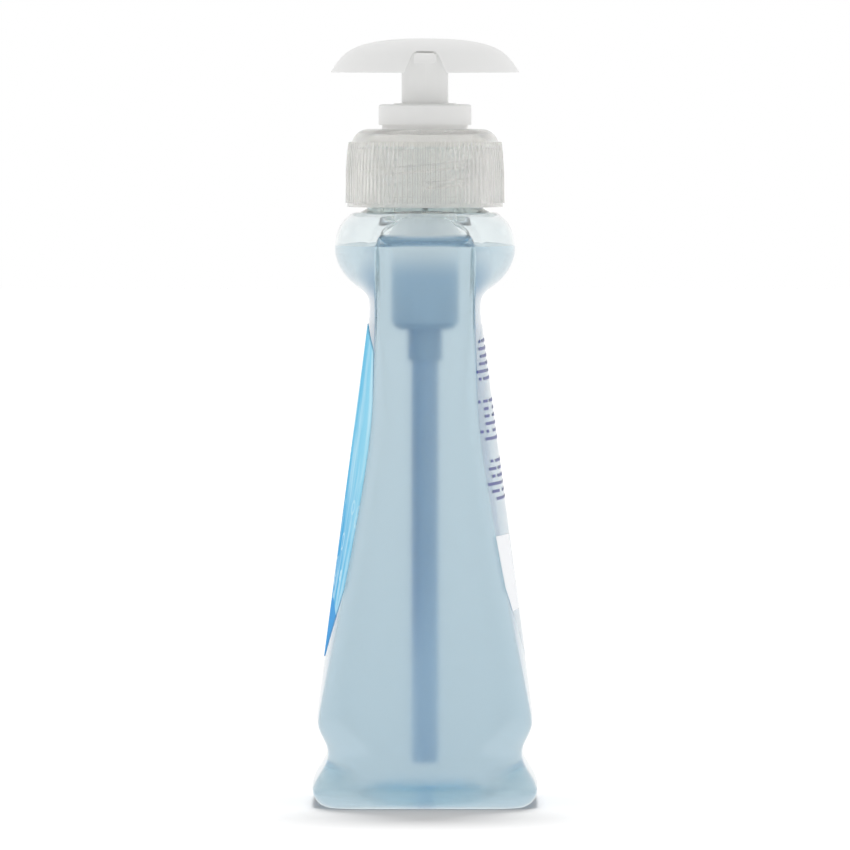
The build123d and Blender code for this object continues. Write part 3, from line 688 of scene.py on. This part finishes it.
@dataclass(frozen=True)
class BottleForm:
    """The bottle's level sections and profile in millimetres; shell, soap and labels are drawn from it.

    Heights are stacked from the base up, and a section is two flat panels and two bowed faces. These
    fields need a word more than their names:

    Attributes:
        side_lean: How far a side leans in for each millimetre of height.
        panel_flare: Slope of a panel's edge below its bend, which is panel_bend_z above the heel.
        panel_soft_radius: Radius of a panel's edge low down, against panel_edge_radius at the waist.
        arch_drop: Height of the round top of a panel.
        arch_limit: Share of that height at which a panel stops growing narrower.
        least_corner: Smallest radius that an inset leaves at a panel's edge.
        band_sag: How far a bowed face stands out from a panel's edge at the least.
        pushup_half: Half width and half depth of the hollow under the base, pushup_slope of it sloping.
        dome_oversize: How far the shoulder's dome stands outside the shoulder where it starts.
        dome_drop: How far below the shoulder's deepest part it starts.
        dome_stretch: Its width over its depth.
        dome_blend: Softness of the edge where it trims a section.
        inner_blend: What the inside of the wall adds to that over the panels, so that the arch shows.
        inner_blend_from: Share of the width from which it does.
        straight_gaps: Heel and shoulder to the stretch of the wall that needs few rows.
        pushup_shares: Places of the rings on the hollow's flat top.
        crease_passes: How often the rings are averaged to round the creases.
    """

    heel_z: float = 22.2
    body_rise: float = 105.7
    ear_rise: float = 14.7
    shoulder_rise: float = 8.1
    neck_rise: float = 16.7
    heel_half_depth: float = 27.6
    waist_half_depth: float = 14.2
    ear_half_depth: float = 23.25
    ear_under_radius: float = 13.0
    waist_radius: float = 3.5
    panel_waist_half: float = 12.6
    panel_flare: float = 0.22
    panel_bend_z: float = 83.3
    panel_bend_radius: float = 20.0
    heel_half_width: float = 36.0
    side_lean: float = 0.08
    panel_edge_radius: float = 1.6
    panel_soft_radius: float = 4.5
    panel_soft_fade: float = 34.0
    arch_drop: float = 8.0
    heel_corner_radius: float = 7.0
    base_corner_radius: float = 12.0
    corner_blend_rise: float = 21.6
    band_half_depth: float = 28.8
    groove_z: float = 13.3
    groove_half_height: float = 8.9
    groove_depth: float = 3.9
    band_sag: float = 0.7
    foot_radius: float = 4.5
    pushup_half: tuple[float, float] = (25.0, 22.0)
    pushup_slope: float = 13.0
    pushup_rise: float = 3.6
    wall: float = 0.75
    floor: float = 1.2
    shoulder_top_half: float = 18.5
    dome_oversize: float = 0.45
    dome_drop: float = 1.5
    dome_stretch: float = 1.31
    dome_blend: float = 0.05
    inner_blend: float = -0.04
    inner_blend_from: float = 0.88
    neck_radius: float = 14.85
    neck_wall: float = 1.6
    neck_fillet: float = 0.5
    panel_steps: int = 10
    corner_steps: int = 8
    bow_steps: int = 34
    fine_row: float = 0.6
    coarse_row: float = 2.2
    crease_passes: int = 6
    arch_limit: float = 0.96
    least_corner: float = 0.4
    straight_gaps: tuple[float, float] = (5.0, 12.0)
    pushup_shares: tuple[float, ...] = (0.35, 0.7, 1.0)
    slope_rings: int = 10
    foot_rings: int = 9

    @property
    def ear_z(self) -> float:
        """Height of the deepest part of the shoulder."""
        return self.heel_z + self.body_rise + self.ear_rise

    @property
    def shoulder_z(self) -> float:
        """Height of the shoulder's flat top."""
        return self.ear_z + self.shoulder_rise

    def half_width(self, z: float) -> float:
        """Give half the bottle's width, which leans in evenly."""
        return self.heel_half_width - (z - self.heel_z) * self.side_lean

    def half_depth(self, z: float) -> float:
        """Give half the bottle's depth on its centre line.

        Args:
            z: Height above the base.

        Returns:
            Half depth at that height.
        """
        if z < self.heel_z:
            wave = (1 + math.cos(math.pi * (z - self.groove_z) / self.groove_half_height)) / 2
            reach = min((self.heel_z - z) / (self.heel_z - self.groove_z), 1)
            plain = self.heel_half_depth + (self.band_half_depth - self.heel_half_depth) * reach
            return plain - self.groove_depth * wave * (abs(z - self.groove_z) < self.groove_half_height)
        ear_centre = self.ear_half_depth - self.ear_under_radius
        waist_centre = self.waist_half_depth + self.waist_radius
        reach = self.ear_under_radius + self.waist_radius
        curve_z = self.ear_z - math.sqrt(reach**2 - (waist_centre - ear_centre) ** 2)
        meet_z = curve_z + (self.ear_z - curve_z) * self.waist_radius / reach
        if z >= self.ear_z:
            return self.ear_half_depth
        if z >= meet_z:
            return ear_centre + math.sqrt(self.ear_under_radius**2 - (self.ear_z - z) ** 2)
        if z >= curve_z:
            return waist_centre - math.sqrt(self.waist_radius**2 - (z - curve_z) ** 2)
        lean = (self.heel_half_depth - self.waist_half_depth) / (self.body_rise - self.waist_radius)
        return max(self.waist_half_depth, self.heel_half_depth - (z - self.heel_z) * lean)

    def panel_half(self, z: float) -> float:
        """Give half the depth of the flat side panel.

        Args:
            z: Height above the base.

        Returns:
            Half depth of the panel at that height.
        """
        most = self.half_depth(z) - self.band_sag
        if z < self.heel_z:
            return most
        below = max(self.heel_z + self.panel_bend_z - z, 0)
        flare = math.hypot(below, self.panel_bend_radius) - self.panel_bend_radius
        above = min(max(z - self.shoulder_z + self.arch_drop, 0) / self.arch_drop, self.arch_limit)
        return min(self.panel_waist_half * math.sqrt(1 - above**2) + self.panel_flare * flare, most)

    def corner(self, z: float) -> float:
        """Give the plan radius between the panel and the bowed face.

        Args:
            z: Height above the base.

        Returns:
            Radius at that height.
        """
        if z < self.heel_z:
            reach = min((self.heel_z - z) / (self.heel_z - self.groove_z), 1)
            return self.heel_corner_radius + (self.base_corner_radius - self.heel_corner_radius) * reach
        soft = min(max((self.heel_z + self.body_rise - z) / self.panel_soft_fade, 0), 1)
        edge = self.panel_edge_radius + (self.panel_soft_radius - self.panel_edge_radius) * ease(soft)
        reach = max(1 - (z - self.heel_z) / self.corner_blend_rise, 0)
        return edge + (self.heel_corner_radius - edge) * reach

    def bow(self, z: float, inset: float) -> tuple[float, float]:
        """Give the arc of the bowed face.

        Args:
            z: Height above the base.
            inset: Distance inside the bottle's outer surface.

        Returns:
            Radius of the arc, and the Y of its centre on the +Y side.
        """
        wide, deep = self.half_width(z) - inset, self.half_depth(z) - inset
        sag = deep - self.panel_half(z) + inset
        radius = (wide**2 + sag**2) / (2 * sag)
        return radius, deep - radius

    def outline(self, z: float, inset: float) -> np.ndarray:
        """Draw one level section.

        Args:
            z: Height above the base.
            inset: Distance inside the bottle's outer surface.

        Returns:
            Points round the section, counter-clockwise from +X.
        """
        wide = self.half_width(z) - inset
        bow, bow_y = self.bow(z, inset)
        corner = max(self.corner(z) - inset, self.least_corner)
        corner_y = bow_y + math.sqrt((bow - corner) ** 2 - (wide - corner) ** 2)
        turn = math.atan2(corner_y - bow_y, wide - corner)
        flat = corner_y * np.arange(self.panel_steps) / self.panel_steps
        round_ = turn * np.arange(self.corner_steps) / self.corner_steps
        face = turn + (math.pi / 2 - turn) * np.arange(self.bow_steps) / self.bow_steps
        x = np.concatenate([0 * flat + wide, wide - corner + corner * np.cos(round_), bow * np.cos(face)])
        y = np.concatenate([flat, corner_y + corner * np.sin(round_), bow_y + bow * np.sin(face)])
        half_x = np.concatenate([x, [0.0], -x[:0:-1]])
        half_y = np.concatenate([y, [bow_y + bow], y[:0:-1]])
        points = np.column_stack([np.concatenate([half_x, -half_x]), np.concatenate([half_y, -half_y])])
        return self.trimmed(points, z, inset)

    def dome(self, z: float, inset: float) -> tuple[float, float]:
        """Give the oval that the shoulder's dome leaves at a height.

        Args:
            z: Height above the base.
            inset: Distance inside the bottle's outer surface.

        Returns:
            Half width and half depth of the oval.
        """
        start = self.ear_z - self.dome_drop
        radius = self.ear_half_depth + self.dome_oversize - inset
        inward = radius - self.shoulder_top_half
        rise = self.shoulder_z - inset - start
        turn = (inward**2 + rise**2) / (2 * inward)
        depth = radius - turn + math.sqrt(turn**2 - max(z - start, 0) ** 2)
        return depth * self.dome_stretch, depth

    def trimmed(self, points: np.ndarray, z: float, inset: float) -> np.ndarray:
        """Keep a section inside the shoulder's dome, with a soft edge where the two meet.

        Args:
            points: Points of a level section.
            z: Its height above the base.
            inset: Distance inside the bottle's outer surface.

        Returns:
            The points, drawn towards the axis where the dome is smaller.
        """
        start = self.ear_z - self.dome_drop
        if z <= start:
            return points
        share = min((z - start) / self.dome_drop, 1)
        side = np.abs(points[:, 0]) / np.abs(points[:, 0]).max()
        inner = np.clip((side - self.inner_blend_from) / (1 - self.inner_blend_from), 0, 1)
        inner *= self.inner_blend * min(inset / self.wall, 1)
        blend = (self.dome_blend + inner) * ease(share)
        far = np.hypot(*(points / self.dome(z, inset)).T)
        far = (1 + far + np.sqrt((1 - far) ** 2 + blend**2)) / 2
        return points / far[:, None]

    def rows(self, low: float, high: float) -> np.ndarray:
        """Space the rows of the wall: close where it curves, wide where it is straight.

        Args:
            low: Lowest height.
            high: Highest height.

        Returns:
            Heights from the lowest to the highest.
        """
        foot_gap, head_gap = self.straight_gaps
        straight_low, straight_high = self.heel_z + foot_gap, self.heel_z + self.body_rise - head_gap
        parts = []
        for start, end, step in (
            (low, straight_low, self.fine_row),
            (straight_low, straight_high, self.coarse_row),
            (straight_high, high, self.fine_row),
        ):
            parts.append(np.linspace(start, end, math.ceil((end - start) / step), endpoint=False))
        return np.concatenate([*parts, [high]])

    def base_rings(self, inset: float, floor_z: float) -> list[np.ndarray]:
        """Draw the base from the push-up's middle out to the foot.

        Args:
            inset: Distance inside the bottle's outer surface.
            floor_z: Height of the floor's lowest part.

        Returns:
            Rings from the middle outwards.
        """
        wide, deep = (size + inset for size in self.pushup_half)
        foot = self.outline(self.foot_radius, inset)
        angle = np.arctan2(foot[:, 1] / deep, foot[:, 0] / wide)
        rings = []
        slope = self.pushup_slope
        for share in self.pushup_shares:
            rings.append(((wide - slope) * share, (deep - slope) * share, self.pushup_rise))
        for share in np.linspace(1, 0, self.slope_rings + 1)[1:]:
            rings.append((wide - slope * share, deep - slope * share, self.pushup_rise * ease(share)))
        rings = [
            np.column_stack([a * np.cos(angle), b * np.sin(angle), 0 * angle + z + floor_z])
            for a, b, z in rings
        ]
        turn = self.foot_radius - inset
        for way in np.linspace(0, math.pi / 2, self.foot_rings):
            z = floor_z + turn * (1 - math.cos(way))
            rings.append(self.level_ring(z, inset + turn * (1 - math.sin(way))))
        return rings

    def level_ring(self, z: float, inset: float) -> np.ndarray:
        """Draw one level section as a ring of 3-D points."""
        points = self.outline(z, inset)
        return np.column_stack([points, np.full(len(points), z)])

    def wall_rings(self, inset: float, low: float, high: float) -> list[np.ndarray]:
        """Draw the wall between two heights."""
        return [self.level_ring(z, inset) for z in self.rows(low, high)]

    def softened(self, rings: list[np.ndarray]) -> list[np.ndarray]:
        """Round the creases between rings by averaging each with its neighbours.

        Args:
            rings: Rings in order.

        Returns:
            As many rings, with the first and last as they were.
        """
        stack = np.array(rings)
        for _ in range(self.crease_passes):
            stack[1:-1] = (stack[:-2] + 2 * stack[1:-1] + stack[2:]) / 4
        return list(stack)


def turned_ring(like: np.ndarray, radius: float | np.ndarray, z: float) -> np.ndarray:
    """Draw a round ring whose points stand at the angles of another ring.

    Args:
        like: Ring that gives the angles.
        radius: One radius, or one for each point.
        z: Height of the ring.

    Returns:
        The ring's points.
    """
    angle = np.arctan2(like[:, 1], like[:, 0])
    return np.column_stack([radius * np.cos(angle), radius * np.sin(angle), np.full(len(angle), z)])


@dataclass(frozen=True)
class Shell:
    """The blown bottle: one closed skin from under the base, over the neck and down the inside.

    Sizes are those of the neck's bead and thread in millimetres. These need a word more:

    Attributes:
        form: The bottle's form.
        thread_height: How far the thread and the bead stand out.
        thread_turns: Length of each of the two starts, in turns.
        thread_start: Angle of the first start in degrees.
        thread_top_gap: Neck's land to the thread's top.
        bead_slope: Height over which the bead rises to its full size.
        neck_row: Height from ring to ring on the neck.
        lid_shares: Places of the rings on the shoulder's flat top, from its edge to the neck.
        sharp_degrees: Edges that turn by more than this stay sharp.
    """

    form: BottleForm
    bead_z: float = 153.5
    bead_height: float = 1.3
    thread_height: float = 1.15
    thread_lead: float = 8.8
    thread_turns: float = 0.78
    thread_start: float = 126.0
    thread_root: float = 2.2
    thread_crest: float = 1.1
    thread_top_gap: float = 1.2
    bead_slope: float = 0.3
    neck_row: float = 0.3
    fillet_rings: int = 5
    lid_shares: tuple[float, ...] = (0.1, 0.2, 0.3, 0.45, 0.6, 0.75, 0.9)
    sharp_degrees: float = 50.0

    def thread_radius(self, like: np.ndarray, z: float) -> np.ndarray:
        """Give the neck's radius with its bead and two-start thread at a height.

        Args:
            like: Ring that gives the angles.
            z: Height of the ring.

        Returns:
            One radius for each point.
        """
        land = self.form.shoulder_z + self.form.neck_rise
        low = land - self.thread_top_gap - self.thread_root / 2 - self.thread_lead * self.thread_turns
        angle = np.arctan2(like[:, 1], like[:, 0])
        ridge = np.zeros(len(angle))
        for start in np.radians([self.thread_start, self.thread_start + 180]):
            turn = np.mod(angle - start, 2 * math.pi) / (2 * math.pi)
            away = np.abs(z - low - self.thread_lead * turn)
            side = (self.thread_root / 2 - away) / ((self.thread_root - self.thread_crest) / 2)
            ridge = np.maximum(ridge, np.clip(side, 0, 1) * (turn < self.thread_turns))
        bead = self.bead_height / 2 - abs(z - self.bead_z - self.bead_height / 2)
        ridge = np.maximum(ridge, min(max(bead / self.bead_slope, 0), 1))
        return self.form.neck_radius + self.thread_height * ridge

    def neck_rings(self, like: np.ndarray) -> list[np.ndarray]:
        """Draw the neck from the shoulder's top up its outside, over its land and down its bore.

        Args:
            like: Ring that gives the angles.

        Returns:
            Rings in order.
        """
        form = self.form
        land = form.shoulder_z + form.neck_rise
        turn = form.neck_fillet
        rings = []
        for way in np.linspace(0, math.pi / 2, self.fillet_rings):
            radius = form.neck_radius + turn * (1 - math.sin(way))
            rings.append(turned_ring(like, radius, form.shoulder_z + turn * (1 - math.cos(way))))
        for z in np.arange(form.shoulder_z + turn + self.neck_row, land, self.neck_row):
            rings.append(turned_ring(like, self.thread_radius(like, z), z))
        rings.append(turned_ring(like, form.neck_radius, land))
        bore = form.neck_radius - form.neck_wall
        for z in (land, (land + form.shoulder_z) / 2, form.shoulder_z + form.neck_wall):
            rings.append(turned_ring(like, bore, z))
        return rings

    def build(self) -> bpy.types.Object:
        """Skin the whole bottle.

        Returns:
            The bottle's object.
        """
        form = self.form
        outer_base, inner_base = form.base_rings(0.0, 0.0), form.base_rings(form.wall, form.floor)
        outside = form.wall_rings(0.0, outer_base[-1][0, 2] + form.fine_row, form.shoulder_z)
        inside = form.wall_rings(form.wall, inner_base[-1][0, 2] + form.fine_row, form.shoulder_z - form.wall)
        neck = self.neck_rings(outside[-1])
        outside = form.softened(outside + self.lid(outside[-1], neck[0]))
        inside = form.softened(inside + self.lid(inside[-1], neck[-1]))
        skin = [*outer_base, *outside, *neck, *inside[::-1], *inner_base[::-1]]
        return ringed_mesh("bottle_shell", skin, self.sharp_degrees)

    def lid(self, edge: np.ndarray, neck: np.ndarray) -> list[np.ndarray]:
        """Draw the shoulder's flat top between its edge and the neck.

        Args:
            edge: Ring at the shoulder's edge.
            neck: Ring at the foot of the neck.

        Returns:
            Rings between the two, close together at the edge so that it comes out round.
        """
        return [edge + (neck - edge) * share for share in self.lid_shares]


@dataclass(frozen=True)
class Soap:
    """The liquid: it wets the wall without a gap, and its edge climbs the flat panels.

    Attributes:
        form: The bottle's form.
        level_z: Height of the still surface in millimetres.
        panel_rise: How far its edge climbs on the panels.
        face_rise: How far it climbs on the bowed faces.
        edge_reach: Distance over which the surface falls back to its level.
        overlap: How far the liquid's skin lies in the wall, so that no air is left between them.
        edge_depth: Depth below the level from which the rows bend with the edge.
        edge_rows: Number of those rows.
        panel_from: Share of the width beyond which the edge starts to climb.
        panel_fade: Share of the width over which it climbs.
        level_offsets: Distances from the wall of the rings of the surface.
        table_rows: Sections from which the wall's place at the edge is read.
        table_spare: Height by which those sections pass the edge.
        sharp_degrees: Edges that turn by more than this stay sharp.
    """

    form: BottleForm
    overlap: float = 0.08
    level_z: float = 141.9
    panel_rise: float = 3.4
    face_rise: float = 0.3
    edge_reach: float = 1.9
    edge_depth: float = 4.0
    edge_rows: int = 10
    panel_from: float = 0.965
    panel_fade: float = 0.03
    level_offsets: tuple[float, ...] = (0.25, 0.6, 1.0, 1.5, 2.2, 3.2, 4.6, 6.5, 9.0)
    table_rows: int = 24
    table_spare: float = 0.5
    sharp_degrees: float = 40.0

    def build(self) -> bpy.types.Object:
        """Skin the liquid.

        Returns:
            The liquid's object.
        """
        form, inset = self.form, self.form.wall - self.overlap
        low = self.level_z - self.edge_depth
        base = form.base_rings(inset, form.floor - self.overlap)
        rings = form.wall_rings(inset, base[-1][0, 2] + form.fine_row, low)
        top = form.outline(self.level_z, inset)
        share = np.clip((np.abs(top[:, 0]) / top[:, 0].max() - self.panel_from) / self.panel_fade, 0, 1)
        rise = self.face_rise + (self.panel_rise - self.face_rise) * ease(share)
        heights = np.linspace(low, self.level_z + self.panel_rise + self.table_spare, self.table_rows)
        table = np.array([form.outline(z, inset) for z in heights])
        for step in np.linspace(0, 1, self.edge_rows + 1)[1:]:
            z = low + (self.level_z + rise - low) * step
            points = [
                [np.interp(z[place], heights, table[:, place, axis]) for axis in (0, 1)]
                for place in range(len(z))
            ]
            rings.append(np.column_stack([np.array(points), z]))
        rings = base + form.softened(rings)
        for away in self.level_offsets:
            points = form.outline(self.level_z, inset + away)
            rings.append(np.column_stack([points, self.level_z + rise * math.exp(-away / self.edge_reach)]))
        return ringed_mesh("soap_fill", rings, self.sharp_degrees)


@dataclass(frozen=True)
class Label:
    """One film label: a shield that follows the bowed face, in millimetres.

    Attributes:
        form: The bottle's form.
        side: Face that carries it.
        margin: Distance from the bottle's sides.
        foot_gap: Heel to the label's lowest point.
        foot_rise: How far its lower edge climbs at the sides.
        head_z: Height of its highest point.
        head_drop: How far its upper edge falls at the sides.
        thick: Thickness of the film.
        glue: Gap under the film.
        columns: Faces across the film.
        lines: Faces up the film.
        sharp_degrees: Edges that turn by more than this stay sharp.
    """

    form: BottleForm
    side: Side
    margin: float = 2.0
    foot_gap: float = 15.0
    foot_rise: float = 19.0
    head_z: float = 122.2
    head_drop: float = 6.5
    thick: float = 0.12
    glue: float = 0.05
    columns: int = 60
    lines: int = 90
    sharp_degrees: float = 60.0

    def edge(self, x: np.ndarray, wide: float, sag: float) -> np.ndarray:
        """Give how far a round edge has turned away at a distance from the middle.

        Args:
            x: Distance from the middle.
            wide: Half the edge's width.
            sag: How far it has turned away at its ends.

        Returns:
            Rise or drop at each distance.
        """
        radius = (wide**2 + sag**2) / (2 * sag)
        return radius - np.sqrt(radius**2 - x**2)

    def build(self) -> bpy.types.Object:
        """Lay the film on the face.

        Returns:
            The label's object.
        """
        form = self.form
        low = form.heel_z + self.foot_gap
        wide_low = form.half_width(low + self.foot_rise) - self.margin
        wide_high = form.half_width(self.head_z - self.head_drop) - self.margin
        across = np.linspace(-1, 1, self.columns + 1)
        foot = low + self.edge(across * wide_low, wide_low, self.foot_rise)
        head = self.head_z - self.edge(across * wide_high, wide_high, self.head_drop)
        way = -1.0 if self.side is Side.FRONT else 1.0
        points = []
        for up in np.linspace(0, 1, self.lines + 1):
            for share, z in zip(across, foot + (head - foot) * up):
                x = share * (wide_low + (wide_high - wide_low) * up)
                radius, centre = form.bow(z, -self.glue)
                points.append((x * MM, way * (centre + math.sqrt(radius**2 - x**2)) * MM, z * MM))
        count = self.columns + 1
        faces = [
            (start, start + 1, start + count + 1, start + count)
            for row in range(self.lines)
            for start in range(row * count, row * count + self.columns)
        ]
        if self.side is Side.BACK:
            faces = [face[::-1] for face in faces]
        film = linked_mesh(self.side.value + "_film", points, faces, self.sharp_degrees)
        thickness = film.modifiers.new("film_thickness", "SOLIDIFY")
        thickness.thickness = self.thick * MM
        thickness.offset = 1.0
        return film


@dataclass
class Bottle:
    """The bottle with its liquid and labels."""

    form: BottleForm = BottleForm()

    def build(self) -> None:
        """Build and dress the shell, the liquid and the labels."""
        for piece, node, slot, finish in (
            (Shell(self.form).build(), "bottle", "clear_pet", CLEAR_PET),
            (Soap(self.form).build(), "soap", "soap_liquid", SOAP_LIQUID),
            (Label(self.form, Side.FRONT).build(), Side.FRONT.value, "label_front_film", FRONT_FILM),
            (Label(self.form, Side.BACK).build(), Side.BACK.value, "label_back_film", BACK_FILM),
        ):
            wear(piece, finish)
            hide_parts(node)
            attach(piece, "bottle")
            LOG.info("%s stands for %s: %d faces", piece.name, node, len(piece.data.polygons))


@dataclass
class Pump:
    """Closure, pump body and push head."""

    def build(self, nodes: dict[str, bpy.types.Object]) -> None:
        """Dress the solids.

        Args:
            nodes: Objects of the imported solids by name.
        """
        for finish, names in (
            (NATURAL_PP, ("closure",)),
            (WHITE_PP, ("pump_head", "lock_collar", "stem")),
            (HOUSING_PP, ("pump_housing", "spring_seat")),
            (TUBE_PE, ("dip_tube", "piston")),
            (FOAM, ("neck_gasket",)),
            (STEEL, ("inlet_ball", "outlet_ball")),
        ):
            for name in names:
                wear(nodes[name], finish)


@dataclass
class ReturnSpring:
    """Steel coil that lifts the plunger; it is drawn at one length.

    Attributes:
        turns: Number of turns.
        wire_radius: Half the wire's thickness in millimetres.
        turn_steps: Rings of wire in a turn.
        wire_sides: Points round the wire.
        sharp_degrees: Edges that turn by more than this stay sharp.
    """

    turns: int = 7
    wire_radius: float = 0.5
    turn_steps: int = 28
    wire_sides: int = 10
    sharp_degrees: float = 60.0

    def build(self, stroke: float) -> None:
        """Wind the coil in the solid's place and hang it on the pump body.

        Args:
            stroke: Travel of the plunger in metres; not used.
        """
        low, high = (np.array(corner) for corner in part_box("return_spring"))
        radius = (high[0] - low[0]) / 2 / MM - self.wire_radius
        start, end = low[2] / MM + self.wire_radius, high[2] / MM - self.wire_radius
        climb = (end - start) / (2 * math.pi * self.turns)
        around = np.linspace(0, 2 * math.pi, self.wire_sides, endpoint=False)[:, None]
        rings = []
        for way in np.linspace(0, 2 * math.pi * self.turns, self.turns * self.turn_steps + 1):
            out = np.array([math.cos(way), math.sin(way), 0.0])
            along = np.array([-math.sin(way) * radius, math.cos(way) * radius, climb])
            side = np.cross(along / np.linalg.norm(along), out)
            middle = out * radius + np.array([0.0, 0.0, start + climb * way])
            rings.append(middle + self.wire_radius * (np.cos(around) * out + np.sin(around) * side))
        coil = ringed_mesh("return_spring_coil", rings, self.sharp_degrees)
        wear(coil, STEEL)
        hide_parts("return_spring")
        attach(coil, "pump_body")
        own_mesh(coil)


def wear(piece: bpy.types.Object, finish: Finish) -> None:
    """Give a piece its finish in every material slot.

    Args:
        piece: Object to dress.
        finish: Finish that it gets.
    """
    material = bpy.data.materials.get(finish.name) or finish.make()
    if not piece.material_slots:
        piece.data.materials.append(material)
    for slot in piece.material_slots:
        slot.material = material
    LOG.info("%s: %s", piece.name, finish.name)


@dataclass
class Studio:
    """White tent, floor and camera.

    Attributes:
        distance: From the bottle's axis to the camera.
        eye_z: Height of the camera.
        aim_z: Height that it looks at.
        picture_width: Width of the picture at the bottle's axis.
        clip_end: Distance up to which the camera sees.
        front_level: Brightness of the tent behind the camera; it is 1 behind the bottle.
        front_ramp: Directions along X between which the brightness changes.
        floor_size: Side of the floor.
        floor_colour: Colour of the floor, which the lamp lifts to white.
        lamp_level: Brightness of the lamp above and behind on a white card.
        lamp_spread: Width of that lamp in degrees.
        lamp_lean: Its height above the horizon in degrees.
        clear_bounces: How often light may pass through clear pieces.
        glossy_bounces: How often it may be mirrored.
        diffuse_bounces: How often it may be scattered.
    """

    distance: float = 3.5
    eye_z: float = 0.2075
    aim_z: float = 0.0963
    picture_width: float = 0.2172
    clip_end: float = 100.0
    front_level: float = 0.7
    front_ramp: tuple[float, float] = (-0.2, 1.0)
    floor_size: float = 12.0
    floor_colour: str = "#cfcfcf"
    lamp_level: float = 0.95
    lamp_spread: float = 15.0
    lamp_lean: float = 66.0
    clear_bounces: int = 48
    glossy_bounces: int = 16
    diffuse_bounces: int = 12

    def build(self) -> None:
        """Set up the light, the floor and the camera."""
        scene = bpy.context.scene
        scene.view_settings.view_transform = "Standard"
        scene.cycles.max_bounces = self.clear_bounces
        scene.cycles.transmission_bounces = self.clear_bounces
        scene.cycles.transparent_max_bounces = self.clear_bounces
        scene.cycles.diffuse_bounces = self.diffuse_bounces
        scene.cycles.glossy_bounces = self.glossy_bounces
        scene.cycles.blur_glossy = 0.0
        self.light()
        self.floor()
        self.camera()

    def light(self) -> None:
        """Surround the bottle with a soft white tent, a little darker behind the camera."""
        world = bpy.data.worlds.new("white_tent")
        world.use_nodes = True
        tree = world.node_tree
        ground = tree.nodes["Background"]
        back, front = self.front_ramp
        ramp = {"From Min": back, "From Max": front, "To Min": 1.0, "To Max": self.front_level}
        sockets = add_row(tree, {}, {
            "way": Step(Kind.PLACE, {}, output="Generated"),
            "x": Step(Kind.AXES, {"Vector": "way"}),
            "level": Step(Kind.RAMP, {"Value": "x", **ramp}),
            "seen": Step(Kind.RAYS, {}, output="Is Camera Ray"),
            "strength": Step(Kind.MATH, {0: "level", 1: "seen"}, {"operation": "MAXIMUM"}),
        })
        tree.links.new(sockets["strength"], ground.inputs["Strength"])
        ground.inputs["Color"].default_value = WHITE
        bpy.context.scene.world = world

    def floor(self) -> None:
        """Lay a white floor that keeps the bottle's shadow."""
        half = self.floor_size / 2
        mesh = bpy.data.meshes.new("floor")
        corners = [(-half, -half, 0), (half, -half, 0), (half, half, 0), (-half, half, 0)]
        mesh.from_pydata(corners, [], [(0, 1, 2, 3)])
        floor = bpy.data.objects.new("floor", mesh)
        bpy.context.scene.collection.objects.link(floor)
        material = bpy.data.materials.new("floor_card_white")
        material.use_nodes = True
        tree = material.node_tree
        shader = tree.nodes["Principled BSDF"]
        shader.inputs["Base Color"].default_value = linear(self.floor_colour)
        shader.inputs["Roughness"].default_value = 1.0
        shader.inputs["Specular IOR Level"].default_value = 0.0
        sockets = add_row(tree, {"lit": shader.outputs["BSDF"]}, {
            "mirrored": Step(Kind.RAYS, {}, output="Is Glossy Ray"),
            "passed": Step(Kind.RAYS, {}, output="Is Transmission Ray"),
            "either": Step(Kind.MATH, {0: "mirrored", 1: "passed"}, {"operation": "MAXIMUM"}),
            "white": Step(Kind.GLOW, {"Color": WHITE, "Strength": 1.0}),
            "card": Step(Kind.EITHER, {0: "either", 1: "lit", 2: "white"}),
        })
        tree.links.new(sockets["card"], tree.nodes["Material Output"].inputs["Surface"])
        floor.data.materials.append(material)
        self.top_lamp(floor)

    def top_lamp(self, floor: bpy.types.Object) -> None:
        """Hang a soft lamp above and behind, shaded so that it lights the floor alone.

        Args:
            floor: The floor, which then shows the bottle's shadow towards the camera.
        """
        light = bpy.data.lights.new("top_lamp", "SUN")
        light.energy = self.lamp_level * math.pi
        light.angle = math.radians(self.lamp_spread)
        lamp = bpy.data.objects.new("top_lamp", light)
        lamp.rotation_euler = (0.0, math.radians(self.lamp_lean - 90.0), 0.0)
        lamp.visible_glossy = False
        lamp.visible_transmission = False
        bpy.context.scene.collection.objects.link(lamp)
        lit = bpy.data.collections.new("floor_alone")
        lit.objects.link(floor)
        lamp.light_linking.receiver_collection = lit

    def camera(self) -> None:
        """Place the camera at the narrow side."""
        lens = bpy.data.cameras.new("camera")
        place = Vector((self.distance, 0.0, self.eye_z))
        aim = Vector((0.0, 0.0, self.aim_z)) - place
        lens.lens = lens.sensor_width * aim.length / self.picture_width
        lens.clip_end = self.clip_end
        camera = bpy.data.objects.new("camera", lens)
        camera.location = place
        camera.rotation_euler = aim.to_track_quat("-Z", "Y").to_euler()
        bpy.context.scene.collection.objects.link(camera)
        bpy.context.scene.camera = camera


def main() -> None:
    """Load the solids, dress them and set up the studio."""
    logging.basicConfig(level=logging.INFO, format="%(name)s: %(message)s")
    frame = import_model()
    Bottle().build()
    Pump().build(frame["nodes"])
    joints = {joint["name"]: joint for joint in frame["record"]["behaviour"]["joints"]}
    ReturnSpring().build(joints["pump_stroke"]["range_m"][1])
    Studio().build()


if __name__ == "__main__":
    main()
